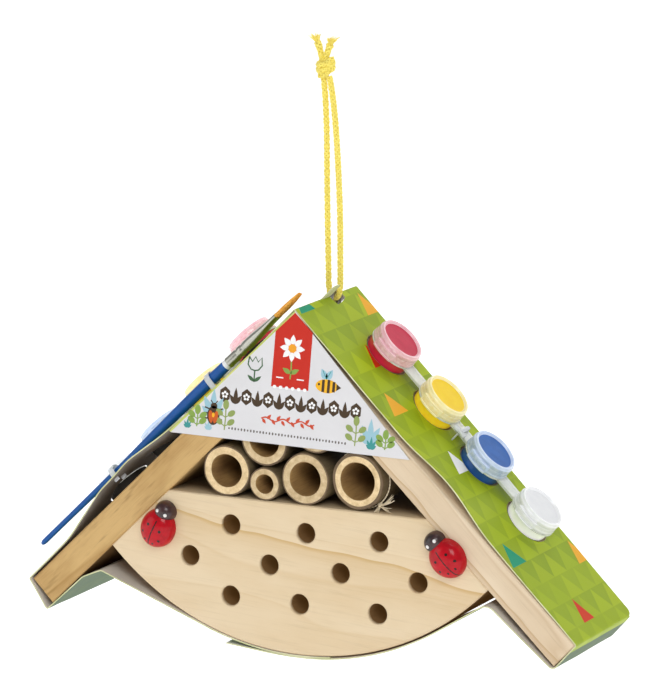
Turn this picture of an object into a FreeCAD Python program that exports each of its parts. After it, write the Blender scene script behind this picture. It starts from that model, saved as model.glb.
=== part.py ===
import FreeCAD, Part

import math
import os

from FreeCAD import Placement, Rotation, Vector

# A small hanging bug house in its card sleeve, in millimetres. It is drawn about the middle of
# the base block's flat top: X right, Y away from the front, Z up. save() then moves every piece
# so that the origin is the point where a hook holds the cord's loop.

# Wooden house
DEPTH = 54.0                 # front to back
ROOF_ANGLE = 44.0            # slope of both roof boards, degrees
BOARD_THICK = 13.0
BLOCK_TOP_HALF = 58.0        # half of the block's flat top, where the boards' undersides meet it
BLOCK_HALF = 84.7            # half of the block at its lower corners
BLOCK_ARC = 117.1            # radius of the block's curved bottom
EAVE_RUN = 76.9              # board underside from the block's top corner to the eave
WOOD_CHAMFER = 0.5
HOLE_DIA = 8.4
HOLE_DEPTH = 38.0
HOLE_RIM = 0.4               # broken edge round each hole
HOLE_ROWS = [                # height of each row of drilled holes, and where its holes are
    (-11.4, (-29.6, 4.3, 36.9)),
    (-26.2, (-48.5, -12.3, 19.7, 54.2)),
    (-41.0, (-30.0, 1.3, 36.3)),
]
BRAD_DIA = 1.4
BRAD_LENGTH = 28.0
BRAD_Y = 15.0

# Bamboo canes: x, z, outside diameter, bore, how far the front end stands behind the front face
CANES = [
    (-31.4, 10.7, 21.2, 13.2, 0.3),
    (-14.0, 7.0, 13.8, 7.4, 0.0),
    (4.2, 10.8, 21.4, 13.4, 0.2),
    (27.7, 12.3, 23.0, 14.8, 0.0),
    (-14.3, 24.8, 21.2, 13.0, 0.6),
    (8.6, 31.5, 20.0, 12.0, 0.4),
    (-4.4, 41.8, 12.0, 7.4, 0.8),
]
CANE_NODE_Y = 9.0            # middle of each cane's closed joint
CANE_NODE_THICK = 3.0
TWINE_DIA = 0.6
TWINE_CANE = 3               # the cane that the twine goes round
TWINE_Y = -22.0

# Ladybirds: x, z, and how far the head leans clockwise, degrees
LADYBIRDS = {"left": (-62.4, -16.0, 26.0), "right": (67.9, -14.5, -42.0)}
BUG_LENGTH = 16.6
BUG_WIDTH = 15.0
BUG_HEIGHT = 6.4

# Card sleeve
CARD = 0.5
CARD_GAP = 0.15              # between the card and the wood that it follows
RIDGE_RISE = 5.4             # card ridge above the boards' ridge
SLEEVE_DEPTH = DEPTH + 0.4
BULGE = 5.0                  # how far the left panel bows out in its lower half
TONGUE_Y = (-3.5, 3.0)       # locking tongue that stands up at the ridge
TONGUE_RISE = 7.8
CORD_HOLE_HALF_X = 2.9
CORD_HOLE_HALF_Y = 5.0
LABEL_CORNERS = [(-57.0, 25.0), (51.0, 23.5), (0.4, 79.0)]
SEAM_TIP = (-32.0, -60.9)    # free end of the sleeve's outer layer
SEAM_OVERLAP = 14.0          # x where the inner layer ends

# Paint pots, measured from the card's ridge down the slope and up from the card
POT_PITCH = 29.3
POT_COUNT = 4
POT_FIRST = {"right": 32.5, "left": 36.7}
POT_Y = {"right": 8.5, "left": -1.3}
POT_LIFT = {"right": -1.0, "left": 1.2}
POT_RADIUS = 9.9
POT_FLOOR_RADIUS = 9.3
POT_WALL = 0.8
POT_FLOOR = 0.8
POT_NECK = POT_RADIUS - 0.3  # outside of the neck that the lid snaps over
PAINT_LEVEL = 8.0
POT_SHOULDER = 5.6           # height of the flange under the lid
POT_MOUTH = 9.4
FLANGE_RADIUS = 10.6
FLANGE_THICK = 0.7
BAR_WIDTH = 7.0
BAR_THICK = 1.2
LID_RADIUS = 10.5
LID_RING_RADIUS = 9.7
LID_SKIRT_INNER = 10.15
LID_TOP = 11.5
LID_PLATE = 0.8
LID_RING_RISE = 0.8
LID_GAP = 0.15
TAB_WIDTH = 9.0
TAB_REACH = 2.4
HINGE_Y = 11.1               # hinge line behind the pot, half-way up the gap under the lid
HINGE_HALF = 2.5             # half of each hinge leaf
HINGE_THICK = 0.5
STRAP_WIDTH = 1.8            # clear tag tie over the middle link bar
STRAP_THICK = 0.7
STRAP_HEAD = 3.6             # its cross bar
STRAP_HEAD_DIA = 1.6

# Paintbrush: distances down the left slope from the card's ridge
BRUSH_Y = -20.0
BRUSH_RISE = 4.4             # brush axis above the card at the ridge
BRUSH_TILT = 1.35            # how much the brush leaves the slope towards its tail, degrees
BRUSH_TIP = -4.6
BRISTLE_LENGTH = 15.5
FERRULE_LENGTH = 31.0
HANDLE_LENGTH = 122.7
FERRULE_RADIUS = 2.3
FERRULE_FLAT = (3.4, 1.3)    # half width and half height of the ferrule at the bristles
FERRULE_TAPER = 14.0         # length over which the ferrule is pressed flat
TENON_RADIUS = 1.8           # end of the handle inside the ferrule
TENON_LENGTH = 8.0
TIE_PLACES = {"brush_tie_upper": 53.0, "brush_tie_lower": 115.0}
TIE_WIDTH = 2.6
TIE_THICK = 0.45
TIE_INSIDE = 2.75            # radius of the band round the handle

# Hanging cord
CORD_DIA = 2.6
EYE_Y = 8.0
PIVOT_Z = 80.5               # the cord bends round the top of the eye's ring here
EYE_WIRE = 2.0
EYE_RING = 3.6               # radius of the middle of the ring's wire
SHANK_LENGTH = 15.0
STRAND_HALF_GAP = 2.6
KNOT_CENTRE = (-3.9, 172.0)
KNOT_RADIUS = 4.4
TAIL_ENDS = [(-8.3, 183.6), (-0.3, 182.5)]
HANG_POINT = Vector(0, EYE_Y, 165.0)

# Worked out from the sizes above
FRONT = -DEPTH / 2
COS_ROOF = math.cos(math.radians(ROOF_ANGLE))
SIN_ROOF = math.sin(math.radians(ROOF_ANGLE))
EAVE_LOW = (BLOCK_TOP_HALF + EAVE_RUN * COS_ROOF, -EAVE_RUN * SIN_ROOF)
EAVE_TOP = (EAVE_LOW[0] + BOARD_THICK * SIN_ROOF, EAVE_LOW[1] + BOARD_THICK * COS_ROOF)
INNER_APEX = BLOCK_TOP_HALF * SIN_ROOF / COS_ROOF
OUTER_APEX = INNER_APEX + BOARD_THICK / COS_ROOF
BLOCK_LOW = -(BLOCK_HALF - BLOCK_TOP_HALF) * SIN_ROOF / COS_ROOF
ARC_CENTRE_Z = BLOCK_LOW + math.sqrt(BLOCK_ARC ** 2 - BLOCK_HALF ** 2)
RIDGE_Z = OUTER_APEX + RIDGE_RISE
PANEL_END = (EAVE_TOP[0] + 0.6, EAVE_TOP[1] + 0.3)
PANEL_ANGLE = math.degrees(math.atan2(RIDGE_Z - PANEL_END[1], PANEL_END[0]))
SIDES = {"right": 1, "left": -1}


def save(name, shape):
    """Writes one sub-part, moved so that the hanging point is the origin."""
    shape = shape.copy()
    shape.translate(-HANG_POINT)
    if not shape.isValid():
        print("not valid:", name)
    shape.exportStep("parts/" + name + ".step")


def roof_frame(side):
    """Placement of a frame on the card's roof: origin on the ridge, X in the panel, Z out of it."""
    return Placement(Vector(0, 0, RIDGE_Z), Rotation(Vector(0, 1, 0), SIDES[side] * PANEL_ANGLE))


def put(shape, frame):
    """Moves a shape drawn in a local frame to that frame's place."""
    shape.Placement = frame.multiply(shape.Placement)
    return shape


def cylinder(radius, height, base, axis=Vector(0, 0, 1)):
    return Part.makeCylinder(radius, height, base, axis)


def box(low, high):
    size = high - low
    return Part.makeBox(size.x, size.y, size.z, low)


def prism(points, y_low, y_high):
    """Solid with the outline (x, z) between two depths."""
    corners = [Vector(x, y_low, z) for x, z in points]
    face = Part.Face(Part.makePolygon(corners + corners[:1]))
    return face.extrude(Vector(0, y_high - y_low, 0))


def turned(profile):
    """Solid turned about Z from its (radius, z) outline."""
    corners = [Vector(r, 0, z) for r, z in profile]
    face = Part.Face(Part.makePolygon(corners + corners[:1]))
    return face.revolve(Vector(0, 0, 0), Vector(0, 0, 1), 360)


def ellipsoid(rx, ry, rz):
    scale = FreeCAD.Matrix()
    scale.scale(rx, ry, rz)
    return Part.makeSphere(1.0).transformGeometry(scale)


# ---- wooden house

def base_block():
    low_left = Vector(-BLOCK_HALF, FRONT, BLOCK_LOW)
    low_right = Vector(BLOCK_HALF, FRONT, BLOCK_LOW)
    top_right = Vector(BLOCK_TOP_HALF, FRONT, 0)
    top_left = Vector(-BLOCK_TOP_HALF, FRONT, 0)
    bottom = Vector(0, FRONT, ARC_CENTRE_Z - BLOCK_ARC)
    edges = [
        Part.Arc(low_left, bottom, low_right).toShape(),
        Part.LineSegment(low_right, top_right).toShape(),
        Part.LineSegment(top_right, top_left).toShape(),
        Part.LineSegment(top_left, low_left).toShape(),
    ]
    block = Part.Face(Part.Wire(edges)).extrude(Vector(0, DEPTH, 0))
    rims = [e for e in block.Edges if abs(e.BoundBox.YLength) < 0.01]
    block = block.makeChamfer(WOOD_CHAMFER, rims)
    for z, places in HOLE_ROWS:
        for x in places:
            block = block.cut(drilled_hole(x, z))
    return block


def drilled_hole(x, z):
    """Drill shape with a 118 degree point, and a slightly broken rim."""
    radius = HOLE_DIA / 2
    tip = radius / math.tan(math.radians(59.0))
    outline = [(0, -1), (radius + HOLE_RIM, -1), (radius + HOLE_RIM, 0), (radius, HOLE_RIM),
               (radius, HOLE_DEPTH), (0, HOLE_DEPTH + tip)]
    drill = turned(outline)
    drill.rotate(Vector(0, 0, 0), Vector(1, 0, 0), -90)
    drill.translate(Vector(x, FRONT, z))
    return drill


def roof_board(side):
    sign = SIDES[side]
    outline = [(0, INNER_APEX), (sign * EAVE_LOW[0], EAVE_LOW[1]), (sign * EAVE_TOP[0], EAVE_TOP[1]),
               (0, OUTER_APEX)]
    board = prism(outline, FRONT, -FRONT)
    rims = [e for e in board.Edges
            if abs(e.BoundBox.YLength) < 0.01 and abs(e.BoundBox.XLength) > 1.0]
    return board.makeChamfer(WOOD_CHAMFER, rims)


def brad(side, y):
    """Headless brad driven square through a board into the block's slanted side."""
    sign = SIDES[side]
    middle = (BLOCK_TOP_HALF + BLOCK_HALF) / 2
    normal = Vector(sign * SIN_ROOF, 0, COS_ROOF)
    on_face = Vector(sign * middle, y, -(middle - BLOCK_TOP_HALF) * SIN_ROOF / COS_ROOF)
    head = on_face + normal * (BOARD_THICK - 0.4)
    return cylinder(BRAD_DIA / 2, BRAD_LENGTH, head, -normal)


def screw_eye():
    """Ring in the YZ plane with its shank driven down into the ridge joint."""
    ring_centre = Vector(0, EYE_Y, PIVOT_Z - EYE_RING)
    ring = Part.makeTorus(EYE_RING, EYE_WIRE / 2, ring_centre, Vector(1, 0, 0))
    shank_top = ring_centre - Vector(0, 0, EYE_RING)
    shank = cylinder(EYE_WIRE / 2, SHANK_LENGTH, shank_top, Vector(0, 0, -1))
    return ring.fuse(shank).removeSplitter()


# ---- bamboo and twine

def cane(x, z, outside, bore, setback):
    """Length of bamboo, open at both ends with its closed joint inside."""
    length = DEPTH - 2 * setback
    start = Vector(x, FRONT + setback, z)
    along = Vector(0, 1, 0)
    node = Vector(x, CANE_NODE_Y - CANE_NODE_THICK / 2, z)
    bore_cut = cylinder(bore / 2, length, start, along)
    bore_cut = bore_cut.cut(cylinder(bore, CANE_NODE_THICK, node, along))
    return cylinder(outside / 2, length, start, along).cut(bore_cut)


def twine():
    """One turn round a cane, with a small knot and two tails beside it."""
    x, z, outside = CANES[TWINE_CANE][:3]
    turn_radius = outside / 2 + TWINE_DIA / 2 + 0.05
    turn = Part.makeTorus(turn_radius, TWINE_DIA / 2, Vector(x, TWINE_Y, z), Vector(0, 1, 0))
    down = math.radians(-52.0)
    knot_reach = turn_radius + 0.8
    knot_at = Vector(x + knot_reach * math.cos(down), TWINE_Y, z + knot_reach * math.sin(down))
    knot = Part.makeSphere(1.0, knot_at)
    tails = [Part.makeCone(0.35, 0.2, 5.0, knot_at, Vector(0.86, -0.25, 0.35)),
             Part.makeCone(0.35, 0.2, 4.2, knot_at, Vector(0.9, -0.5, -0.08))]
    return turn.fuse([knot] + tails)


# ---- ladybirds

def ladybird(side):
    """Flat-backed wooden ladybird on the block's front face, its head leaning as glued."""
    x, z, lean = LADYBIRDS[side]
    shell = ellipsoid(BUG_WIDTH / 2, BUG_HEIGHT, BUG_LENGTH / 2)
    head = ellipsoid(4.6, BUG_HEIGHT - 1.4, 4.2)
    head.translate(Vector(0, 0, BUG_LENGTH / 2))
    bug = shell.fuse(head)
    bug = bug.common(box(Vector(-20, -20, -20), Vector(20, 0, 20)))
    bug.rotate(Vector(0, 0, 0), Vector(0, 1, 0), lean)
    bug.translate(Vector(x, FRONT, z))
    return bug


# ---- card sleeve

def tangent_point(point, radius, upper):
    """Where the line from a point touches the circle round the block's arc centre."""
    dx = point[0]
    dz = point[1] - ARC_CENTRE_Z
    distance = math.hypot(dx, dz)
    swing = math.acos(radius / distance)
    angle = math.atan2(dz, dx) + (swing if upper else -swing)
    return (radius * math.cos(angle), ARC_CENTRE_Z + radius * math.sin(angle))


def meet(a, b, c, d):
    """Crossing of the lines ab and cd."""
    ux, uz = b[0] - a[0], b[1] - a[1]
    vx, vz = d[0] - c[0], d[1] - c[1]
    t = ((c[0] - a[0]) * vz - (c[1] - a[1]) * vx) / (ux * vz - uz * vx)
    return (a[0] + ux * t, a[1] + uz * t)


def strip(path, thick):
    """Band of even thickness along a path of (point, radius) corners in the XZ plane."""
    stations = [(path[0][0], None)]
    for (before, _), (corner, radius), (after, _) in zip(path, path[1:], path[2:]):
        back = Vector(before[0] - corner[0], 0, before[1] - corner[1]).normalize()
        ahead = Vector(after[0] - corner[0], 0, after[1] - corner[1]).normalize()
        half_turn = (math.pi - back.getAngle(ahead)) / 2
        reach = radius * math.tan(half_turn)
        here = Vector(corner[0], 0, corner[1])
        bisector = (back + ahead).normalize()
        centre = here + bisector * (radius / math.cos(half_turn))
        middle = centre - bisector * radius
        stations.append((here + back * reach, middle, here + ahead * reach, -bisector))
    stations.append((path[-1][0], None))
    sides = []
    for offset in (-thick / 2, thick / 2):
        edges = []
        last = None
        for index, station in enumerate(stations):
            if station[1] is None:
                neighbour = stations[1][0] if index == 0 else stations[-2][2]
                here = Vector(station[0][0], 0, station[0][1])
                along = (neighbour - here) if index == 0 else (here - neighbour)
                normal = Vector(-along.z, 0, along.x).normalize()
                points = [here + normal * offset]
            else:
                enter, middle, leave, outward = station
                before = stations[index - 1]
                previous = before[2] if before[1] is not None else Vector(before[0][0], 0, before[0][1])
                along = enter - previous
                normal = Vector(-along.z, 0, along.x).normalize()
                sign = 1 if normal.dot(outward) > 0 else -1
                following = stations[index + 1]
                target = Vector(following[0][0], 0, following[0][1]) if following[1] is None \
                    else following[0]
                onward = target - leave
                next_normal = Vector(-onward.z, 0, onward.x).normalize()
                points = [enter + normal * offset, middle + outward * (sign * offset),
                          leave + next_normal * offset]
            if last is not None:
                edges.append(Part.LineSegment(last, points[0]).toShape())
            if len(points) == 3:
                edges.append(Part.Arc(*points).toShape())
            last = points[-1]
        sides.append(edges)
    first, second = sides
    ends = [Part.LineSegment(first[-1].Vertexes[-1].Point, second[-1].Vertexes[-1].Point).toShape(),
            Part.LineSegment(second[0].Vertexes[0].Point, first[0].Vertexes[0].Point).toShape()]
    outline = Part.Wire(Part.__sortEdges__(first + second + ends))
    face = Part.Face(outline)
    face.translate(Vector(0, -SLEEVE_DEPTH / 2, 0))
    return face.extrude(Vector(0, SLEEVE_DEPTH, 0))


def panel_point(side, slope_distance, rise):
    """(x, z) at a distance down the card's roof panel and a height above it."""
    place = roof_frame(side).multVec(Vector(SIDES[side] * slope_distance, 0, rise))
    return (place.x, place.z)


def sleeve_path():
    """Corners of the sleeve's middle line and their radii, from its free tip round to its end."""
    inner_radius = BLOCK_ARC + CARD_GAP + CARD / 2
    outer_radius = inner_radius + CARD + 0.1
    right_crest = (84.6, -31.4)
    left_crest = (-90.0, -36.9)
    right_touch = tangent_point(right_crest, outer_radius, False)
    left_touch = tangent_point(left_crest, inner_radius, True)
    tip_touch = tangent_point(SEAM_TIP, outer_radius, True)
    end_angle = -math.acos(SEAM_OVERLAP / inner_radius)
    end_touch = (SEAM_OVERLAP, ARC_CENTRE_Z + inner_radius * math.sin(end_angle))
    end_ahead = (end_touch[0] - math.sin(end_angle), end_touch[1] + math.cos(end_angle))
    return [
        (SEAM_TIP, None),
        (meet(SEAM_TIP, tip_touch, right_crest, right_touch), outer_radius),
        (right_crest, 5.0),
        ((EAVE_LOW[0] - 0.2, EAVE_LOW[1] - 1.5), 2.2),
        (PANEL_END, 0.5),
        ((0, RIDGE_Z), 0.5),
        (panel_point("left", 84.0, 0.0), 60.0),
        (panel_point("left", 104.0, BULGE), 30.0),
        (panel_point("left", 122.0, BULGE), 30.0),
        (panel_point("left", 148.0, 0.2), 50.0),
        ((-PANEL_END[0] - 0.8, PANEL_END[1] - 0.4), 0.5),
        ((-EAVE_LOW[0] - 2.5, EAVE_LOW[1] - 2.8), 0.7),
        ((-98.6, -40.6), 5.0),
        (left_crest, 2.5),
        (meet(left_crest, left_touch, end_touch, end_ahead), inner_radius),
        (end_ahead, None),
    ]


def pot_openings(side):
    """Cutters for the four die-cut holes that the pots sit in."""
    cutters = []
    for index in range(POT_COUNT):
        x = SIDES[side] * (POT_FIRST[side] + index * POT_PITCH)
        cutters.append(cylinder(POT_RADIUS + 0.5, 16.0, Vector(x, POT_Y[side], -8.0)))
    return put(cutters[0].fuse(cutters[1:]), roof_frame(side))


def tongue():
    """Tongue of the left panel that comes out through a slit at the ridge."""
    low, high = TONGUE_Y
    corners = [Vector(-0.3, low, -CARD / 2), Vector(TONGUE_RISE - 2.0, low, -CARD / 2),
               Vector(TONGUE_RISE, low + 2.0, -CARD / 2), Vector(TONGUE_RISE, high - 2.0, -CARD / 2),
               Vector(TONGUE_RISE - 2.0, high, -CARD / 2), Vector(-0.3, high, -CARD / 2)]
    plate = Part.Face(Part.makePolygon(corners + corners[:1])).extrude(Vector(0, 0, CARD))
    return put(plate, roof_frame("left"))


def card_sleeve(ties):
    sleeve = strip(sleeve_path(), CARD)
    for side in SIDES:
        sleeve = sleeve.cut(pot_openings(side))
    cord_hole = box(Vector(-CORD_HOLE_HALF_X, EYE_Y - CORD_HOLE_HALF_Y, RIDGE_Z - 6.0),
                    Vector(CORD_HOLE_HALF_X, EYE_Y + CORD_HOLE_HALF_Y, RIDGE_Z + 6.0))
    sleeve = sleeve.cut(cord_hole)
    label = prism(LABEL_CORNERS, -SLEEVE_DEPTH / 2 - CARD, -SLEEVE_DEPTH / 2)
    sleeve = sleeve.fuse([tongue(), label]).removeSplitter()
    for tie in ties:
        sleeve = sleeve.cut(tie)
    return sleeve


# ---- paint pots

def pot_cup():
    """One cup with its flange, drawn about its own axis with its foot at zero."""
    inner = POT_NECK - POT_WALL
    outline = [(0, 0), (POT_FLOOR_RADIUS, 0), (POT_RADIUS, POT_SHOULDER - FLANGE_THICK),
               (FLANGE_RADIUS, POT_SHOULDER - FLANGE_THICK), (FLANGE_RADIUS, POT_SHOULDER),
               (POT_NECK, POT_SHOULDER), (POT_NECK, POT_MOUTH), (inner, POT_MOUTH),
               (inner, POT_FLOOR), (0, POT_FLOOR)]
    return turned(outline)


def pot_spot(side, index):
    return Vector(SIDES[side] * (POT_FIRST[side] + index * POT_PITCH), POT_Y[side], POT_LIFT[side])


def pot_strip(side):
    """Four cups with their link bars and living hinges, one moulding."""
    cups = []
    for index in range(POT_COUNT):
        spot = pot_spot(side, index)
        cup = pot_cup()
        cup.translate(spot)
        cups.append(cup)
        hinge_low = spot + Vector(-HINGE_HALF, FLANGE_RADIUS - 1.0, POT_SHOULDER - HINGE_THICK)
        cups.append(box(hinge_low, spot + Vector(HINGE_HALF, HINGE_Y - 0.15, POT_SHOULDER)))
    for index in range(POT_COUNT - 1):
        ends = sorted([pot_spot(side, index).x, pot_spot(side, index + 1).x])
        level = POT_LIFT[side] + POT_SHOULDER - BAR_THICK
        low = Vector(ends[0] + POT_RADIUS - 0.6, POT_Y[side] - BAR_WIDTH / 2, level)
        high = Vector(ends[1] - POT_RADIUS + 0.6, POT_Y[side] + BAR_WIDTH / 2, level + BAR_THICK)
        cups.append(box(low, high))
    return put(cups[0].fuse(cups[1:]).removeSplitter(), roof_frame(side))


def paint_fill(side, index):
    """Paint that fills a cup to a little under its rim."""
    radius = POT_NECK - POT_WALL - 0.1
    foot = pot_spot(side, index) + Vector(0, 0, POT_FLOOR)
    fill = cylinder(radius, PAINT_LEVEL - POT_FLOOR, foot)
    return put(fill, roof_frame(side))


def pot_lid(side, index):
    """Snap-on lid: skirt, recessed top plate, raised ring, thumb tab and its half of the hinge."""
    plate_top = LID_TOP - LID_RING_RISE
    skirt_low = POT_SHOULDER + LID_GAP
    outline = [(0, plate_top - LID_PLATE), (LID_SKIRT_INNER, plate_top - LID_PLATE),
               (LID_SKIRT_INNER, skirt_low), (LID_RADIUS, skirt_low), (LID_RADIUS, plate_top - 0.4),
               (LID_RING_RADIUS, LID_TOP), (LID_RING_RADIUS - 1.4, LID_TOP),
               (LID_RING_RADIUS - 1.8, plate_top), (0, plate_top)]
    lid = turned(outline)
    tab_low = Vector(-TAB_WIDTH / 2, -LID_RADIUS - TAB_REACH, skirt_low + 0.6)
    tab = box(tab_low, Vector(TAB_WIDTH / 2, -LID_RADIUS + 0.6, skirt_low + 1.6))
    tab_end = Vector(0, -LID_RADIUS - TAB_REACH + 3.6, skirt_low)
    tab = tab.common(cylinder(TAB_WIDTH / 2 + 0.4, 3.0, tab_end).fuse(
        box(Vector(-TAB_WIDTH / 2, tab_end.y, skirt_low), Vector(TAB_WIDTH / 2, 0, skirt_low + 3.0))))
    leaf = box(Vector(-HINGE_HALF, LID_RADIUS - 0.25, skirt_low),
               Vector(HINGE_HALF, HINGE_Y + 0.2, skirt_low + HINGE_THICK))
    lid = lid.fuse([tab, leaf]).removeSplitter()
    lid.translate(pot_spot(side, index))
    return put(lid, roof_frame(side))


def strip_tie(side):
    """Clear tag tie: a strap round the middle link bar with a cross bar at its front end."""
    middle = (pot_spot(side, 1) + pot_spot(side, 2)) * 0.5
    over = POT_LIFT[side] + POT_SHOULDER + 0.1
    under = -0.4
    half = STRAP_WIDTH / 2
    reach = BAR_WIDTH / 2 + 0.2
    outer = box(Vector(middle.x - half, middle.y - reach - STRAP_THICK, under - STRAP_THICK),
                Vector(middle.x + half, middle.y + reach + STRAP_THICK, over + STRAP_THICK))
    hollow = box(Vector(middle.x - half - 1, middle.y - reach, under),
                 Vector(middle.x + half + 1, middle.y + reach, over))
    head_start = Vector(middle.x - STRAP_HEAD / 2, middle.y - reach - STRAP_THICK, over + STRAP_HEAD_DIA / 2)
    head = cylinder(STRAP_HEAD_DIA / 2, STRAP_HEAD, head_start, Vector(1, 0, 0))
    return put(outer.cut(hollow).fuse(head), roof_frame(side))


# ---- paintbrush

def brush_frame():
    """Brush axis along local X, pointing up the left slope, its bristle tip at X = 0."""
    lift = BRUSH_RISE + BRUSH_TIP * math.tan(math.radians(BRUSH_TILT))
    on_roof = Placement(Vector(-BRUSH_TIP, BRUSH_Y, lift), Rotation(Vector(0, 1, 0), BRUSH_TILT))
    return roof_frame("left").multiply(on_roof)


def brush_turned(profile):
    """Solid turned about the brush's axis from its (distance behind the tip, radius) outline."""
    shape = turned([(radius, distance) for distance, radius in profile])
    shape.rotate(Vector(0, 0, 0), Vector(0, 1, 0), -90)
    return put(shape, brush_frame())


def brush_handle():
    joint = BRISTLE_LENGTH + FERRULE_LENGTH
    end = joint + HANDLE_LENGTH
    profile = [(joint - TENON_LENGTH, 0), (joint - TENON_LENGTH, TENON_RADIUS), (joint, TENON_RADIUS),
               (joint, 2.1), (joint + 18.0, 2.3), (joint + 40.0, 2.0), (joint + 66.0, 1.4),
               (end - 3.0, 1.1), (end - 0.8, 0.8), (end, 0)]
    return brush_turned(profile)


def brush_ferrule():
    """Tin ferrule: round on the handle and pressed flat at the bristles."""
    round_start = BRISTLE_LENGTH + FERRULE_TAPER
    round_end = BRISTLE_LENGTH + FERRULE_LENGTH
    sleeve = brush_turned([(round_start, 0), (round_start, FERRULE_RADIUS), (round_end, FERRULE_RADIUS),
                           (round_end, 0)])
    flat_end = cross_section(BRISTLE_LENGTH, *FERRULE_FLAT)
    round_face = cross_section(round_start, FERRULE_RADIUS, FERRULE_RADIUS)
    taper = put(Part.makeLoft([flat_end, round_face], True, True), brush_frame())
    handle_space = brush_turned([(round_end - TENON_LENGTH, 0), (round_end - TENON_LENGTH, TENON_RADIUS),
                                 (round_end + 1, TENON_RADIUS), (round_end + 1, 0)])
    return sleeve.fuse(taper).cut(handle_space).removeSplitter()


def cross_section(distance, half_width, half_height):
    """Ellipse across the brush's axis, wide along Y."""
    if half_width == half_height:
        ring = Part.Circle(Vector(0, 0, 0), Vector(1, 0, 0), half_width)
        edge = ring.toShape()
    else:
        edge = Part.Ellipse(Vector(0, half_width, 0), Vector(0, 0, half_height),
                            Vector(0, 0, 0)).toShape()
    edge.translate(Vector(-distance, 0, 0))
    return Part.Wire([edge])


def brush_bristles():
    """Flat tuft, a little wider at its slanted end than at the ferrule."""
    root = [(-3.1, -1.05), (3.1, -1.05), (3.1, 1.05), (-3.1, 1.05)]
    tip = [(-3.7, -0.5), (3.5, -0.5), (3.5, 0.5), (-3.7, 0.5)]
    rings = []
    for distance, outline in ((BRISTLE_LENGTH, root), (0.0, tip)):
        corners = [Vector(-distance, y, z) for y, z in outline]
        rings.append(Part.makePolygon(corners + corners[:1]))
    tuft = Part.makeLoft(rings, True, True)
    slant = Part.makeBox(10, 12, 6, Vector(0, -6, -3))
    slant.rotate(Vector(0, 0, 0), Vector(0, 0, 1), 22)
    slant.translate(Vector(-1.6, 0, 0))
    return put(tuft.cut(slant), brush_frame())


def brush_tie(slope_distance):
    """Clear band over the handle, its ends going through the card."""
    behind_tip = slope_distance - BRUSH_TIP
    inside = TIE_INSIDE
    wide = inside + TIE_THICK
    lift = BRUSH_RISE + slope_distance * math.tan(math.radians(BRUSH_TILT))
    depth = lift + 1.0 if slope_distance < 80 else 3.6
    arch = cylinder(wide, TIE_WIDTH, Vector(-TIE_WIDTH / 2, 0, 0), Vector(1, 0, 0)).fuse(
        box(Vector(-TIE_WIDTH / 2, -wide, -depth), Vector(TIE_WIDTH / 2, wide, 0)))
    hollow = cylinder(inside, TIE_WIDTH + 2, Vector(-TIE_WIDTH / 2 - 1, 0, 0), Vector(1, 0, 0)).fuse(
        box(Vector(-TIE_WIDTH, -inside, -depth + TIE_THICK), Vector(TIE_WIDTH, inside, 0)))
    band = arch.cut(hollow)
    band.translate(Vector(-behind_tip, 0, 0))
    return put(band, brush_frame())


# ---- hanging cord

def cord_route():
    """Corner points (x, z) of the cord from the knot down round the eye and back."""
    bend_low = PIVOT_Z - STRAND_HALF_GAP
    return [
        (-4.6, 168.0),
        (-3.2, 158.0),
        (-3.1, 118.0),
        (-STRAND_HALF_GAP, bend_low),
        (STRAND_HALF_GAP, bend_low),
        (2.7, 118.0),
        (0.4, 158.0),
        (-1.9, 168.0),
    ]


def cord_corner(before, corner, after):
    """Tangent arc at a corner: its two ends, its middle and its radius."""
    back = (before - corner).normalize()
    ahead = (after - corner).normalize()
    half_turn = (math.pi - back.getAngle(ahead)) / 2
    shorter = min((before - corner).Length, (after - corner).Length)
    radius = 0.45 * shorter / math.tan(half_turn)
    if half_turn > math.radians(30):
        radius = STRAND_HALF_GAP - 0.001
    reach = radius * math.tan(half_turn)
    bisector = (back + ahead).normalize()
    middle = corner + bisector * (radius / math.cos(half_turn) - radius)
    return corner + back * reach, middle, corner + ahead * reach, radius


def hanging_cord():
    route = [Vector(x, EYE_Y, z) for x, z in cord_route()]
    edges = []
    last = route[0]
    radii = []
    for before, corner, after in zip(route, route[1:], route[2:]):
        enter, middle, leave, radius = cord_corner(before, corner, after)
        edges.append(Part.LineSegment(last, enter).toShape())
        edges.append(Part.Arc(enter, middle, leave).toShape())
        radii.append(round(radius, 1))
        last = leave
    edges.append(Part.LineSegment(last, route[-1]).toShape())
    path = Part.Wire(edges)
    start = Part.Wire([Part.Circle(route[0], route[1] - route[0], CORD_DIA / 2).toShape()])
    tube = path.makePipeShell([start], True, False)
    section = math.pi * (CORD_DIA / 2) ** 2
    print("cord: length", round(path.Length, 1), "radii", radii,
          "volume over section x length", round(tube.Volume / (section * path.Length), 4))
    return tube


def cord_knot():
    """Overhand knot in both strands, with the two cut ends standing up out of it."""
    centre = Vector(KNOT_CENTRE[0], EYE_Y, KNOT_CENTRE[1])
    knot = ellipsoid(KNOT_RADIUS, KNOT_RADIUS - 0.7, KNOT_RADIUS - 0.8)
    knot.translate(centre)
    tails = []
    for x, z in TAIL_ENDS:
        reach = Vector(x, EYE_Y, z) - centre
        tails.append(Part.makeCone(CORD_DIA / 2, CORD_DIA / 2 + 0.7, reach.Length, centre, reach))
    return knot.fuse(tails).removeSplitter()


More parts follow.
